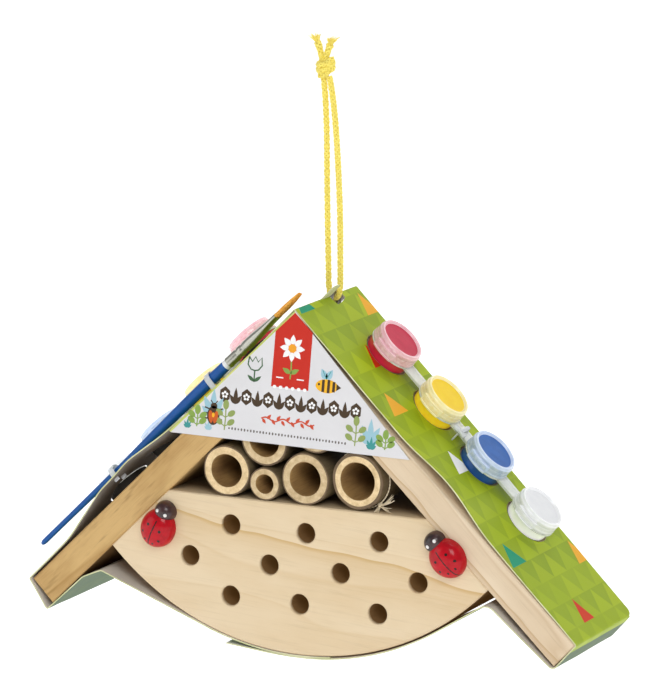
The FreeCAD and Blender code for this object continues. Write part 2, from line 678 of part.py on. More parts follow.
def build():
    os.makedirs("parts", exist_ok=True)
    brads = [brad(side, y) for side in SIDES for y in (-BRAD_Y, BRAD_Y)]
    eye = screw_eye()
    wood = {"base_block": base_block(), "roof_board_left": roof_board("left"),
            "roof_board_right": roof_board("right")}
    for name, shape in wood.items():
        for cutter in brads + [eye]:
            shape = shape.cut(cutter)
        save(name, shape)
    save("roof_brads", Part.makeCompound(brads))
    save("screw_eye", eye)
    for number, sizes in enumerate(CANES, 1):
        save("bamboo_tube_%d" % number, cane(*sizes))
    save("bamboo_twine", twine())
    for side in SIDES:
        save("ladybird_" + side, ladybird(side))
        save("pot_strip_" + side, pot_strip(side))
        for index in range(POT_COUNT):
            save("paint_%s_%d" % (side, index + 1), paint_fill(side, index))
            save("pot_lid_%s_%d" % (side, index + 1), pot_lid(side, index))
    ties = {"strip_tie_" + side: strip_tie(side) for side in SIDES}
    ties.update({name: brush_tie(place) for name, place in TIE_PLACES.items()})
    for name, shape in ties.items():
        save(name, shape)
    save("card_sleeve", card_sleeve(ties.values()))
    save("brush_handle", brush_handle())
    save("brush_ferrule", brush_ferrule())
    save("brush_bristles", brush_bristles())
    save("hanging_cord", hanging_cord())
    save("cord_knot", cord_knot())


build()
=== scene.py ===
import math
import random

import bmesh
import bpy
from mathutils import Matrix, Vector, noise


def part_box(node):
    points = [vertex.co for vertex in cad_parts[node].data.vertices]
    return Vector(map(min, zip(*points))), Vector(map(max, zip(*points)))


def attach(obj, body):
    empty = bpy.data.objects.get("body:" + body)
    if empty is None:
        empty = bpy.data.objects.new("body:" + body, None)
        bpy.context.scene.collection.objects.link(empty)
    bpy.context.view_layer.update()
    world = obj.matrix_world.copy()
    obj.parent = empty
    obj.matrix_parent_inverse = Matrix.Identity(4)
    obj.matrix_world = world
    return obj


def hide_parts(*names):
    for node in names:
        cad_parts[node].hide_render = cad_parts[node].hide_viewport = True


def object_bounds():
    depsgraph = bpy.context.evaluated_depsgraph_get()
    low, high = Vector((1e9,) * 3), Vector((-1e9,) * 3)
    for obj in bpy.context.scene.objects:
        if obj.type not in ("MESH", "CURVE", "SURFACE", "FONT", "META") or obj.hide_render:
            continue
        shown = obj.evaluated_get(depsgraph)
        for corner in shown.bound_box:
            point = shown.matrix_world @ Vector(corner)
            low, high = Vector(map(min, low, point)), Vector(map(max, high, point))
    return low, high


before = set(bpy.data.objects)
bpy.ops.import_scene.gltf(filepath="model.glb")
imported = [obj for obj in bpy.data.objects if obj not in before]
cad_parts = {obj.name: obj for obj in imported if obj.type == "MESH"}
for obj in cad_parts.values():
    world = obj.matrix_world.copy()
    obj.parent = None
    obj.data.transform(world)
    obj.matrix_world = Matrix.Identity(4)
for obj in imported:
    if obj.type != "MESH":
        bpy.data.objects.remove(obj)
cad_low, cad_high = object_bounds()

# A small hanging insect hotel in its card sleeve, in metres. Every piece is drawn about the
# middle of the base block's flat top, X right, Y away from the front, Z up, and make() moves it
# into the frame.
block_low, block_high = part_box("base_block")
board_low, board_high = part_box("roof_board_right")
HOUSE = Vector((0.0, (block_low.y + block_high.y) / 2, block_high.z))

# Wooden house
DEPTH = block_high.y - block_low.y
FRONT = -DEPTH / 2
ROOF_ANGLE = math.radians(44.0)
BOARD_THICK = 0.013
BLOCK_TOP_HALF = 0.058
BLOCK_HALF = block_high.x
BLOCK_ARC = 0.1171
# Broad growth line on the block's front: slope, and height in the middle
FRONT_GRAIN = (-0.14, -0.0145)
EAVE_TOP = (board_high.x, board_low.z - HOUSE.z + BOARD_THICK * math.cos(ROOF_ANGLE))
EAVE_LOW = (EAVE_TOP[0] - BOARD_THICK * math.sin(ROOF_ANGLE), board_low.z - HOUSE.z)
BLOCK_LOW = -(BLOCK_HALF - BLOCK_TOP_HALF) * math.tan(ROOF_ANGLE)
ARC_CENTRE_Z = BLOCK_LOW + math.sqrt(BLOCK_ARC ** 2 - BLOCK_HALF ** 2)

# Bamboo canes: outside diameter, bore, width of the dark skin seen on the cut face
CANES = {1: (0.0212, 0.0132, 0.0004), 2: (0.0138, 0.0074, 0.0003), 3: (0.0214, 0.0134, 0.0004),
         4: (0.0230, 0.0148, 0.0010), 5: (0.0212, 0.0130, 0.0005), 6: (0.0200, 0.0120, 0.0005),
         7: (0.0120, 0.0074, 0.0004)}
FRESH_CANES = (1, 4)
CANE_NODE = (0.0075, 0.0105)
TWINE_CANE = 4
TWINE_Y = -0.022
TWINE_PLY = 0.00014
# Twine ends: direction, sag and length
TWINE_TAILS = [((0.9, -0.5, 0.15), (0.3, 0.0, 0.9), 0.0072), ((0.5, -0.7, -0.3), (0.9, 0.0, 0.3), 0.0055),
               ((-0.3, -0.8, -0.5), (0.1, 0.0, -0.9), 0.0040), ((0.2, -0.9, -0.6), (-0.6, 0.0, -0.3), 0.0032)]

# Ladybirds: x, z, and how far the head leans clockwise
LADYBIRDS = {"left": (-0.0624, -0.0160, math.radians(26)),
             "right": (0.0679, -0.0145, math.radians(-42))}
BUG_LENGTH = 0.0166
BUG_WIDTH = 0.0150
BUG_HEIGHT = 0.0064
BUG_HEAD_WIDTH = 0.0092
BUG_HEAD_LENGTH = 0.0084
BUG_HEAD_HEIGHT = 0.0054
BUG_EYE = Vector((0.0008, 0.0006, 0.0008))
BUG_EYE_PLACE = Vector((0.0019, -0.0049, 0.0082))
# Dots on the back: across, along, radius
BUG_DOTS = [(-0.0028, 0.0014, 0.00060), (0.0030, 0.0010, 0.00060), (-0.0040, -0.0026, 0.00054),
            (0.0040, -0.0030, 0.00058), (-0.0018, -0.0052, 0.00048), (0.0020, -0.0056, 0.00048)]

# Card sleeve
CARD = 0.0005
CARD_GAP = 0.00015
RIDGE_Z = board_high.z - HOUSE.z + 0.0054
SLEEVE_DEPTH = DEPTH + 0.0004
BULGE = 0.005
PANEL_END = (EAVE_TOP[0] + 0.0006, EAVE_TOP[1] + 0.0003)
LEFT_PANEL_END = (-PANEL_END[0] - 0.0008, PANEL_END[1] - 0.0004)
PANEL_ANGLE = math.atan2(RIDGE_Z - PANEL_END[1], PANEL_END[0])
PANEL_RUN = math.hypot(RIDGE_Z - PANEL_END[1], PANEL_END[0])
SEAM_TIP = (-0.0320, -0.0609)
SEAM_OVERLAP = 0.014
BOWS = [(0.064, 0.122, 0.0026), (-0.048, -0.116, 0.0024)]
TONGUE_Y = (-0.0035, 0.0030)
TONGUE_RISE = 0.0078
CORD_HOLE_Y = (0.0030, 0.0130)
LABEL_CORNERS = [(-0.0570, 0.0250), (0.0510, 0.0235), (0.0004, 0.0790)]

# Print on the sleeve: rows of triangles, and the bright ones as colour, row, place and width
UNDERSIDE_RUN = 0.178
ROW_TOP = 0.0028
ROW_HEIGHT = 0.0110
TRIANGLE = 0.0120
ACCENTS = [("teal", -1, -0.0195, 0.0120), ("orange", 0, 0.0236, 0.0110), ("red", 2, -0.0005, 0.0120),
           ("orange", 4, -0.0147, 0.0124), ("white", 7, -0.0049, 0.0120), ("teal", 11, -0.0199, 0.0124),
           ("orange", 12, 0.0250, 0.0100), ("red", 14, -0.0048, 0.0094)]
ACCENT_COLOURS = {"orange": (0.82, 0.40, 0.02), "red": (0.60, 0.035, 0.006), "white": (0.86, 0.86, 0.86),
                  "teal": (0.010, 0.29, 0.16)}

# Print on the label: how far it leans and falls, how thick a layer of ink is, and the inks
ART_LEAN = 0.096
ART_FALL = 0.023
LAYER = 0.00002
INKS = {"red": (0.52, 0.022, 0.010), "white": (0.84, 0.84, 0.84), "orange": (0.80, 0.33, 0.02),
        "leaf_green": (0.22, 0.34, 0.07), "olive_leaf": (0.26, 0.33, 0.10), "dark_leaf": (0.06, 0.13, 0.06),
        "sky": (0.30, 0.50, 0.58), "teal": (0.05, 0.28, 0.27), "amber": (0.82, 0.43, 0.02),
        "brown": (0.060, 0.036, 0.018), "rust": (0.55, 0.10, 0.015), "script_red": (0.55, 0.07, 0.03),
        "grey": (0.13, 0.115, 0.105)}

# Paint pots
POT_PITCH = 0.0293
POT_FIRST = {"right": 0.0325, "left": 0.0367}
POT_Y = {"right": 0.0085, "left": -0.0013}
POT_LIFT = {"right": -0.0010, "left": 0.0012}
POT_RADIUS = 0.0099
POT_FOOT = 0.0093
POT_RIM = 0.0094
POT_WALL = 0.0008
POT_FLOOR = 0.0008
PAINT_LEVEL = 0.0080
HIDDEN_FOOT = {"right": 0.0008, "left": 0.0034}
FLANGE_RADIUS = 0.0106
FLANGE_THICK = 0.0007
SHOULDER = 0.0056
BAR_WIDTH = 0.0070
BAR_THICK = 0.0012
LID_RADIUS = 0.0105
LID_TOP = 0.0115
LID_PLATE = 0.0106
LID_TAB_ANGLE = math.radians(27)
HINGE_HALF = 0.0025
# Steps of the thumb tab: outer radius, bottom and top above the lid's rim, share of its width, look
THUMB_TAB = [(0.0119, 0.0003, 0.0034, 1.0, 1), (0.0121, 0.0010, 0.0028, 0.80, 2),
             (0.0128, 0.0001, 0.0010, 0.86, 1)]
PAINTS = ["red", "yellow", "blue", "white"]
# How much each cup glows, painted light standing for light through its thin wall; then colour and shade of
# the paint, the lid's milky rim, its skirt, the cup and the lid's disc
CUP_GLOW = {"red": 0.10, "yellow": 0.28, "blue": 0.0, "white": 0.30}
PAINT_COLOURS = {"red": ((0.60, 0.022, 0.060), (0.50, 0.015, 0.045)),
                 "yellow": ((0.92, 0.60, 0.020), (0.84, 0.50, 0.012)),
                 "blue": ((0.022, 0.105, 0.44), (0.016, 0.080, 0.36)),
                 "white": ((0.86, 0.86, 0.87), (0.80, 0.80, 0.81))}
LID_TINTS = {"red": ((0.86, 0.56, 0.60), (0.82, 0.44, 0.50)),
             "yellow": ((0.93, 0.84, 0.50), (0.92, 0.78, 0.36)),
             "blue": ((0.62, 0.71, 0.88), (0.50, 0.61, 0.84)),
             "white": ((0.87, 0.88, 0.89), (0.82, 0.83, 0.85))}
SKIRTS = {"red": ((0.84, 0.58, 0.59), (0.74, 0.38, 0.41)),
          "yellow": ((0.93, 0.82, 0.48), (0.90, 0.74, 0.30)),
          "blue": ((0.54, 0.62, 0.72), (0.34, 0.45, 0.62)),
          "white": ((0.88, 0.89, 0.87), (0.80, 0.81, 0.80))}
CUPS = {"red": ((0.74, 0.028, 0.075), (0.64, 0.020, 0.060)),
        "yellow": ((0.98, 0.70, 0.030), (0.92, 0.60, 0.020)),
        "blue": ((0.026, 0.125, 0.47), (0.020, 0.100, 0.40)),
        "white": ((0.94, 0.94, 0.94), (0.88, 0.88, 0.88))}
LID_DISCS = {"red": ((0.56, 0.018, 0.060), (0.50, 0.013, 0.050)),
             "yellow": ((0.93, 0.65, 0.008), (0.90, 0.60, 0.006)),
             "blue": ((0.024, 0.125, 0.43), (0.019, 0.105, 0.37)),
             "white": ((0.80, 0.81, 0.82), (0.76, 0.77, 0.79))}

# Paintbrush
BRUSH_Y = -0.020
BRUSH_RISE = 0.0044
BRUSH_TILT = math.radians(1.35)
BRUSH_TIP = -0.0046
BRISTLES = 0.0155
FERRULE = 0.031
HANDLE = 0.1227
BRISTLE_HALF_WIDTH = 0.0030
BRISTLE_HALF_THICK = 0.0010
BRISTLE_SLANT = math.radians(22)
BRISTLE_COUNT = 420
TIES = {"brush_tie_upper": 0.053, "brush_tie_lower": 0.115}
TIE_RADIUS = 0.00275
TIE_THICK = 0.00035
TIE_WIDTH = 0.0026

# Hanging cord
EYE_Y = 0.008
CORD_DIA = 0.0026
BRAID_PITCH = 2.7
TAIL_HAIRS = 46
KNOT_CENTRE = Vector((-0.0039, EYE_Y, 0.1720))
TAIL_ENDS = [Vector((-0.0083, EYE_Y, 0.1836)), Vector((-0.0003, EYE_Y, 0.1825))]

SIDES = {"right": 1, "left": -1}

# Camera and light: the camera's place was fitted to the photo
CAMERA_AZIMUTH = math.radians(27.04)
CAMERA_ELEVATION = math.radians(11.625)
CAMERA_ROLL = math.radians(-0.25)
CAMERA_TARGET = Vector((0.0034, -0.0038, 0.0591))
CAMERA_DISTANCE = 1.976
CAMERA_LENS = 253.3
LIGHT_AIM = Vector((0, 0, -0.15))

# Grey over one growth line of the wood: the usual ones and the broad one on the front
GROWTH_BAND = [(0.0, 0), (0.55, 0.18), (0.90, 0.45), (0.96, 1), (1.0, 0)]
BROAD_BAND = [(0.0, 0), (0.55, 0.16), (0.88, 0.40), (0.98, 0.95), (1.0, 0)]


# ---- camera, light and floor

def camera():
    """Long lens at the photo's angle, with the photo's slight roll."""
    level = math.cos(CAMERA_ELEVATION)
    back = Vector((math.sin(CAMERA_AZIMUTH) * level, -math.cos(CAMERA_AZIMUTH) * level,
                   math.sin(CAMERA_ELEVATION)))
    data = bpy.data.cameras.new("camera")
    data.lens = CAMERA_LENS
    data.clip_start = 0.1
    data.clip_end = 50.0
    eye = bpy.data.objects.new("camera", data)
    bpy.context.collection.objects.link(eye)
    turn = (-back).to_track_quat("-Z", "Y").to_matrix().to_4x4()
    place = Matrix.Translation(HOUSE + CAMERA_TARGET + back * CAMERA_DISTANCE)
    eye.matrix_world = place @ turn @ Matrix.Rotation(CAMERA_ROLL, 4, "Z")
    bpy.context.scene.camera = eye


def area_light(name, place, size, power):
    """Square soft box aimed at the object."""
    data = bpy.data.lights.new(name, "AREA")
    data.shape = "RECTANGLE"
    data.size = data.size_y = size
    data.energy = power
    lamp = bpy.data.objects.new(name, data)
    bpy.context.collection.objects.link(lamp)
    lamp.location = place
    lamp.rotation_euler = (LIGHT_AIM - Vector(place)).to_track_quat("-Z", "Y").to_euler()


def studio():
    """Pale floor that curves up into a backdrop, with three soft boxes and an even sky."""
    floor_z = cad_low.z - 0.10
    near, side, reach, sweep, height = -9.0, 9.0, 3.8, 0.9, 4.0
    line = [(near, 0.0), (reach - sweep, 0.0)]
    line += [(reach - sweep + sweep * math.sin(a), sweep - sweep * math.cos(a))
             for a in [math.radians(d) for d in range(10, 91, 10)]]
    line += [(reach, height)]
    shape = Shape()
    shape.add([Vector((x, y, z + floor_z)) - HOUSE for y, z in line for x in (-side, side)],
              [[2 * i, 2 * i + 1, 2 * i + 3, 2 * i + 2] for i in range(len(line) - 1)])
    cloth = Shader("studio_paper", 0.9)
    cloth.set("Base Color", (0.93, 0.93, 0.93, 1))
    cloth.set("Emission Color", (1, 1, 1, 1))
    cloth.set("Emission Strength", 0.55)
    backdrop = make("studio_floor", shape, [cloth.material], None)
    world = bpy.data.worlds.new("sky")
    world.use_nodes = True
    sky = world.node_tree.nodes["Background"].inputs
    sky["Color"].default_value = (1, 1, 1, 1)
    sky["Strength"].default_value = 0.30
    bpy.context.scene.world = world
    area_light("key", (0.9, -1.5, 1.1), 0.9, 16)
    area_light("fill", (-1.4, -1.3, 0.3), 1.2, 6)
    area_light("top", (0.3, 0.5, 1.5), 1.0, 9)
    bpy.context.scene.view_settings.view_transform = "Standard"


# ---- meshes

class Shape:
    """Points, faces, each face's material slot and, if wanted, flat coordinates of one piece."""

    def __init__(self):
        self.points = []
        self.faces = []
        self.slots = []
        self.flat = []

    def add(self, points, faces, slot=0, matrix=None, flat=None):
        """Adds points moved by the matrix, and their faces with one slot or a list of slots."""
        base = len(self.points)
        self.points += [matrix @ p for p in points] if matrix else list(points)
        self.faces += [[base + i for i in face] for face in faces]
        self.slots += [slot] * len(faces) if isinstance(slot, int) else list(slot)
        self.flat += list(flat) if flat else [(p.x, p.z) for p in points]

    def join(self, other, matrix):
        self.add(other.points, other.faces, other.slots, matrix)


def clean(mesh, weld=0.0):
    """Joins points closer than the weld distance and turns every face outward."""
    work = bmesh.new()
    work.from_mesh(mesh)
    if weld:
        bmesh.ops.remove_doubles(work, verts=work.verts, dist=weld)
    bmesh.ops.recalc_face_normals(work, faces=work.faces)
    work.to_mesh(mesh)
    work.free()


def scratch_solid(name, points, faces):
    """Closed mesh object that serves only while the card is cut."""
    mesh = bpy.data.meshes.new(name)
    mesh.from_pydata(points, [], faces)
    clean(mesh)
    piece = bpy.data.objects.new(name, mesh)
    bpy.context.collection.objects.link(piece)
    return piece


def make(name, shape, materials, body, replaces=(), sharp=35):
    """Turns a Shape into an object that rides on a body and stands for CAD nodes."""
    mesh = bpy.data.meshes.new(name)
    mesh.from_pydata([HOUSE + p for p in shape.points], [], shape.faces)
    for material in materials:
        mesh.materials.append(material)
    mesh.polygons.foreach_set("material_index", shape.slots)
    layer = mesh.uv_layers.new(name="flat")
    for loop in mesh.loops:
        layer.data[loop.index].uv = shape.flat[loop.vertex_index]
    clean(mesh, 1e-7)
    mesh.shade_smooth()
    mesh.set_sharp_from_angle(angle=math.radians(sharp))
    piece = bpy.data.objects.new(name, mesh)
    bpy.context.collection.objects.link(piece)
    if body:
        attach(piece, body)
    if replaces:
        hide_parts(*replaces)
    return piece


def angles(count):
    """Even steps of one whole turn."""
    return [2 * math.pi * k / count for k in range(count)]


def band_faces(rings, steps):
    """Faces between each ring of points and the next."""
    faces = []
    for ring in range(0, (rings - 1) * steps, steps):
        for k in range(steps):
            after = (k + 1) % steps
            faces.append([ring + k, ring + after, ring + steps + after, ring + steps + k])
    return faces


def turned(profile, steps, wobble=None):
    """Shape turned about Z from (radius, height, slot of the stretch that follows) corners."""
    points = []
    for radius, height, _ in profile:
        for angle in angles(steps):
            reach = radius * wobble(angle) if wobble else radius
            points.append(Vector((reach * math.cos(angle), reach * math.sin(angle), height)))
    slots = [slot for _, _, slot in profile[:-1] for _ in range(steps)]
    shape = Shape()
    shape.add(points, band_faces(len(profile), steps), slots)
    return shape


def bent(start, bend, end, t):
    """Point at a share of the way along a curve that leans towards the bend."""
    return start * (1 - t) ** 2 + bend * 2 * t * (1 - t) + end * t ** 2


def rounded(profile, radius):
    """The same profile with each inner corner rounded by up to the radius."""
    steps = 3
    result = [profile[0]]
    for before, corner, after in zip(profile, profile[1:], profile[2:]):
        here = Vector(corner[:2])
        back = Vector(before[:2]) - here
        ahead = Vector(after[:2]) - here
        reach = min(radius, 0.45 * back.length, 0.45 * ahead.length)
        start, end = here + back.normalized() * reach, here + ahead.normalized() * reach
        for i in range(steps + 1):
            spot = bent(start, here, end, i / steps)
            result.append((spot.x, spot.y, before[2] if i < steps / 2 else corner[2]))
    result.append(profile[-1])
    return result


def tube(points, radius, sides=8, closed=False):
    """Points and faces of a round tube; radius is one number or one for each point."""
    count = len(points)
    radii = radius if isinstance(radius, list) else [radius] * count
    rings = []
    side = None
    for i, point in enumerate(points):
        before = points[i - 1] if i > 0 or closed else point
        after = points[(i + 1) % count] if i < count - 1 or closed else point
        along = (after - before).normalized()
        if side is None:
            side = along.orthogonal().normalized()
        side = (side - along * side.dot(along)).normalized()
        other = along.cross(side)
        rings += [point + (side * math.cos(a) + other * math.sin(a)) * radii[i] for a in angles(sides)]
    faces = band_faces(count, sides)
    last = (count - 1) * sides
    if closed:
        faces += [[last + k, last + (k + 1) % sides, (k + 1) % sides, k] for k in range(sides)]
    else:
        faces += [list(range(sides))[::-1], [last + k for k in range(sides)]]
    return rings, faces


def slab(outline, low, high):
    """Points and faces of a flat plate: its (x, y) outline between two heights."""
    count = len(outline)
    points = [Vector((x, y, z)) for z in (low, high) for x, y in outline]
    faces = [[i, (i + 1) % count, (i + 1) % count + count, i + count] for i in range(count)]
    return points, faces + [list(range(count))[::-1], list(range(count, 2 * count))]


def ellipsoid(centre, size, steps=20, rings=12):
    """Points and faces of a whole ellipsoid with its poles on Z."""
    wide, deep, tall = size
    points = []
    for tilt in [math.pi * i / rings for i in range(rings + 1)]:
        spread = math.sin(tilt)
        points += [centre + Vector((wide * spread * math.cos(turn), deep * spread * math.sin(turn),
                                    tall * math.cos(tilt))) for turn in angles(steps)]
    return points, band_faces(rings + 1, steps)


def roof_frame(side):
    """Frame on the card's roof: origin on the ridge, X in the panel, Z out of it."""
    return Matrix.Translation((0, 0, RIDGE_Z)) @ Matrix.Rotation(SIDES[side] * PANEL_ANGLE, 4, "Y")


# ---- materials

class Shader:
    """One material and short ways to add nodes to it."""

    def __init__(self, name, roughness):
        self.material = bpy.data.materials.new(name)
        self.material.use_nodes = True
        self.tree = self.material.node_tree
        self.bsdf = self.tree.nodes["Principled BSDF"]
        self.set("Roughness", roughness)

    def set(self, socket, value):
        """A number or colour goes onto the shader's socket, and a node's output is linked."""
        if isinstance(value, bpy.types.NodeSocket):
            self.tree.links.new(value, self.bsdf.inputs[socket])
        else:
            self.bsdf.inputs[socket].default_value = value

    def node(self, kind, inputs, **settings):
        """New node with its inputs set to numbers or linked to other nodes' outputs."""
        node = self.tree.nodes.new("ShaderNode" + kind)
        for key, value in settings.items():
            setattr(node, key, value)
        for key, value in inputs.items():
            if isinstance(value, bpy.types.NodeSocket):
                self.tree.links.new(value, node.inputs[key])
            else:
                node.inputs[key].default_value = value
        return node

    def place(self, scale=(1, 1, 1), turn=(0, 0, 0)):
        """The object's own coordinates, turned and scaled."""
        source = self.node("TexCoord", {}).outputs["Object"]
        return self.node("Mapping", {"Vector": source, "Scale": scale, "Rotation": turn}).outputs[0]

    def stretched(self, vector, scale):
        """The same coordinates with the first axis scaled."""
        return self.node("Mapping", {"Vector": vector, "Scale": (scale, 1, 1)}).outputs[0]

    def noise(self, vector, scale, detail=3.0, rough=0.55):
        return self.node("TexNoise", {"Vector": vector, "Scale": scale, "Detail": detail,
                                      "Roughness": rough}).outputs[0]

    def maths(self, operation, a, b=0.0, c=0.0):
        return self.node("Math", {0: a, 1: b, 2: c}, operation=operation).outputs[0]

    def times(self, a, b):
        return self.maths("MULTIPLY", a, b)

    def below(self, a, b):
        return self.maths("LESS_THAN", a, b)

    def away(self, a, b):
        """Distance between two values."""
        return self.maths("ABSOLUTE", self.maths("SUBTRACT", a, b))

    def ramp(self, factor, stops):
        """Colours at (position, colour) stops and even blends between them."""
        node = self.node("ValToRGB", {"Fac": factor})
        elements = node.color_ramp.elements
        while len(elements) < len(stops):
            elements.new(0.5)
        for element, (position, colour) in zip(elements, stops):
            element.position = position
            element.color = (*colour, 1)
        return node.outputs[0]

    def greys(self, factor, stops):
        return self.ramp(factor, [(place, (grey,) * 3) for place, grey in stops])

    def rise(self, factor, low, high, top=1.0):
        """Black up to low, then an even rise to the top grey at high."""
        return self.greys(factor, [(low, 0), (high, top)])

    def mix(self, factor, a, b):
        """Blend of two colours: a at 0, b at 1."""
        a, b = ((*value, 1) if isinstance(value, tuple) else value for value in (a, b))
        return self.node("Mix", {0: factor, 6: a, 7: b}, data_type="RGBA").outputs[2]

    def bump(self, height, distance, strength=1.0):
        node = self.node("Bump", {"Height": height, "Distance": distance, "Strength": strength})
        self.set("Normal", node.outputs[0])

    def axes(self, vector):
        return self.node("SeparateXYZ", {0: vector}).outputs


def wood(name, pale, deep, turn, streaks, knots=0.0, seam=None, board=True):
    """Planed pine: growth bands that wander, fibres along the grain and faint clouds, with painted shade
    inside the house and a painted glow in the drilled holes.
    """
    paint = Shader(name, 0.65)
    along = paint.place((1, 1, 1), turn)
    wander = paint.noise(paint.stretched(along, 0.22), 26, 2.0)
    rings = paint.maths("MULTIPLY_ADD", wander, 3.2, paint.times(paint.axes(along)[2], 55))
    line = paint.greys(paint.maths("FRACT", rings), GROWTH_BAND)
    fibres = paint.noise(paint.stretched(along, 0.03), 1300, 4.0, 0.7)
    cloud = paint.noise(paint.stretched(along, 0.30), 70, 4.0, 0.6)
    flecks = paint.noise(paint.stretched(along, 0.12), 330, 3.0, 0.6)
    dark = tuple(c * 0.55 for c in deep)
    tone = paint.mix(paint.times(line, streaks), pale, deep)
    for pattern, low, high, amount, colour in ((cloud, 0.40, 0.70, 0.25 + knots, deep),
                                               (flecks, 0.60, 0.74, 0.10 + knots, dark),
                                               (fibres, 0.52, 0.80, 0.20 + 0.3 * knots, dark)):
        tone = paint.mix(paint.times(paint.rise(pattern, low, high), amount), tone, colour)
    if seam:
        tone = paint.mix(latewood(paint, *seam), tone, deep)
    # Painted shade: a dark brown mixed in away from the light, inside the house and down the holes
    shade, drilled = painted_inner_shade(paint, board)
    paint.set("Base Color", paint.mix(shade, tone, (0.135, 0.068, 0.021)))
    # Painted light: a faint glow in the drilled holes stands for light bounced into them
    paint.set("Emission Color", (0.038, 0.018, 0.0045, 1))
    paint.set("Emission Strength", 0.0 if board else paint.times(shade, drilled))
    paint.set("Specular IOR Level", 0.2)
    paint.bump(fibres, 0.00012, 0.3)
    return paint.material


def latewood(paint, slope, height):
    """One broad growth line over the front face: sharp above, fading below."""
    x, _, z = paint.axes(paint.place())
    wander = paint.noise(paint.place((0.4, 0.2, 1)), 45, 2.0)
    line = paint.maths("MULTIPLY_ADD", x, slope, HOUSE.z + height)
    off = paint.maths("MULTIPLY_ADD", wander, 0.007, paint.maths("SUBTRACT", z, line))
    return paint.greys(paint.maths("MULTIPLY_ADD", off, 70.0, 0.8), BROAD_BAND)


def painted_inner_shade(paint, underside):
    """Painted shade on wood away from the light: some way inside, and at once in the drilled holes.

    On the roof boards it is only their underside. The second value is 1 below the block's top."""
    _, y, z = paint.axes(paint.place())
    middle = paint.away(y, HOUSE.y)
    ragged = paint.times(paint.noise(paint.place(), 900, 2.0), 0.0008)
    depth = paint.maths("SUBTRACT", DEPTH / 2 - 0.0004, paint.maths("ADD", middle, ragged))
    drilled = paint.below(z, HOUSE.z - 0.0005)
    reach = paint.maths("MULTIPLY_ADD", drilled, 630.0, 70.0)
    shade = paint.rise(paint.times(depth, reach), 0.0, 0.9, 0.92)
    if underside:
        facing = paint.axes(paint.node("NewGeometry", {}).outputs["Normal"])[2]
        shade = paint.times(shade, paint.below(facing, -0.2))
    return shade, drilled


def cut_bamboo(name, light):
    """Sawn end: pale pith dotted with dark bundles; light scales how pale it is."""
    face = Shader(name, 0.75)
    here = face.place()
    dots = face.node("TexVoronoi", {"Vector": here, "Scale": 1500.0}).outputs["Distance"]
    speck = face.greys(dots, [(0.12, 1), (0.40, 0)])
    cloud = face.noise(here, 420, 4.0)
    pith = [(0.3, (0.48, 0.35, 0.180)), (0.5, (0.60, 0.45, 0.250)), (0.72, (0.70, 0.55, 0.330))]
    tone = face.ramp(cloud, [(place, tuple(c * light for c in colour)) for place, colour in pith])
    tone = face.mix(face.times(speck, 0.25), tone, (0.42, 0.27, 0.12))
    saw = face.noise(face.place((1, 1, 0.15), (0, math.radians(35), 0)), 2200, 2.0)
    face.set("Base Color", tone)
    face.bump(face.maths("ADD", saw, face.times(speck, -0.6)), 0.00015, 0.7)
    return face.material


def bamboo_side(name, pale, deep, rough):
    """Cane wall seen from its side: long fibres with patches of stain."""
    side = Shader(name, rough)
    fibres = side.noise(side.place((1, 0.03, 1)), 2600, 3.0, 0.7)
    patches = side.noise(side.place((1, 0.3, 1)), 140, 4.0)
    tone = side.mix(side.rise(patches, 0.35, 0.7), pale, deep)
    tone = side.mix(side.rise(fibres, 0.45, 0.8, 0.5), tone, tuple(c * 0.55 for c in deep))
    side.set("Base Color", tone)
    side.bump(fibres, 0.0001, 0.6)
    return side.material


def printed_card():
    """Rows of light triangles on darker green with a few bright ones, as printed on the sleeve.

    The flat coordinates are the distance round the sleeve from the ridge, and the depth."""
    card = Shader("printed_card", 0.5)
    flat = card.node("TexCoord", {}).outputs["UV"]
    u, v, _ = card.axes(flat)
    left = card.maths("GREATER_THAN", u, 0.0)
    distance = card.maths("MULTIPLY_ADD", left, 5 * ROW_HEIGHT, card.maths("ABSOLUTE", u))
    rows = card.maths("DIVIDE", card.maths("SUBTRACT", distance, ROW_TOP), ROW_HEIGHT)
    row = card.maths("FLOOR", rows)
    drop = card.maths("FRACT", rows)
    luck = card.node("TexWhiteNoise", {"W": row}, noise_dimensions="1D").outputs["Value"]
    columns = card.maths("ADD", card.maths("DIVIDE", v, TRIANGLE), card.times(luck, 3.0))
    leaf = card.below(card.away(card.maths("FRACT", columns), 0.5), card.times(drop, 0.5))
    cell = card.maths("ADD", card.maths("FLOOR", columns), card.times(row, 17.0))
    chance = card.node("TexWhiteNoise", {"W": cell}, noise_dimensions="1D").outputs["Value"]
    other = card.maths("FRACT", card.times(chance, 7.3))
    ground = card.mix(luck, (0.225, 0.325, 0.009), (0.285, 0.385, 0.009))
    light = card.mix(chance, (0.35, 0.47, 0.009), (0.45, 0.55, 0.012))
    soft = card.maths("MULTIPLY_ADD", other, 0.45, 0.4)
    tone = card.mix(card.times(leaf, soft), ground, light)
    tone = card.mix(card.times(card.noise(flat, 110, 2.0), 0.45), tone, (0.36, 0.455, 0.010))
    for colour, band, centre, width in ACCENTS:
        same = card.maths("COMPARE", row, float(band), 0.4)
        inside = card.below(card.away(v, centre), card.times(drop, width / 2))
        tone = card.mix(card.times(same, inside), tone, ACCENT_COLOURS[colour])
    under = card.maths("GREATER_THAN", card.maths("ABSOLUTE", u), UNDERSIDE_RUN)
    tone = card.mix(card.times(under, 0.86), tone, (0.030, 0.078, 0.056))
    card.set("Base Color", tone)
    card.set("Specular IOR Level", 0.2)
    card.bump(card.noise(card.place(), 900, 3.0), 0.00005, 0.25)
    return card.material


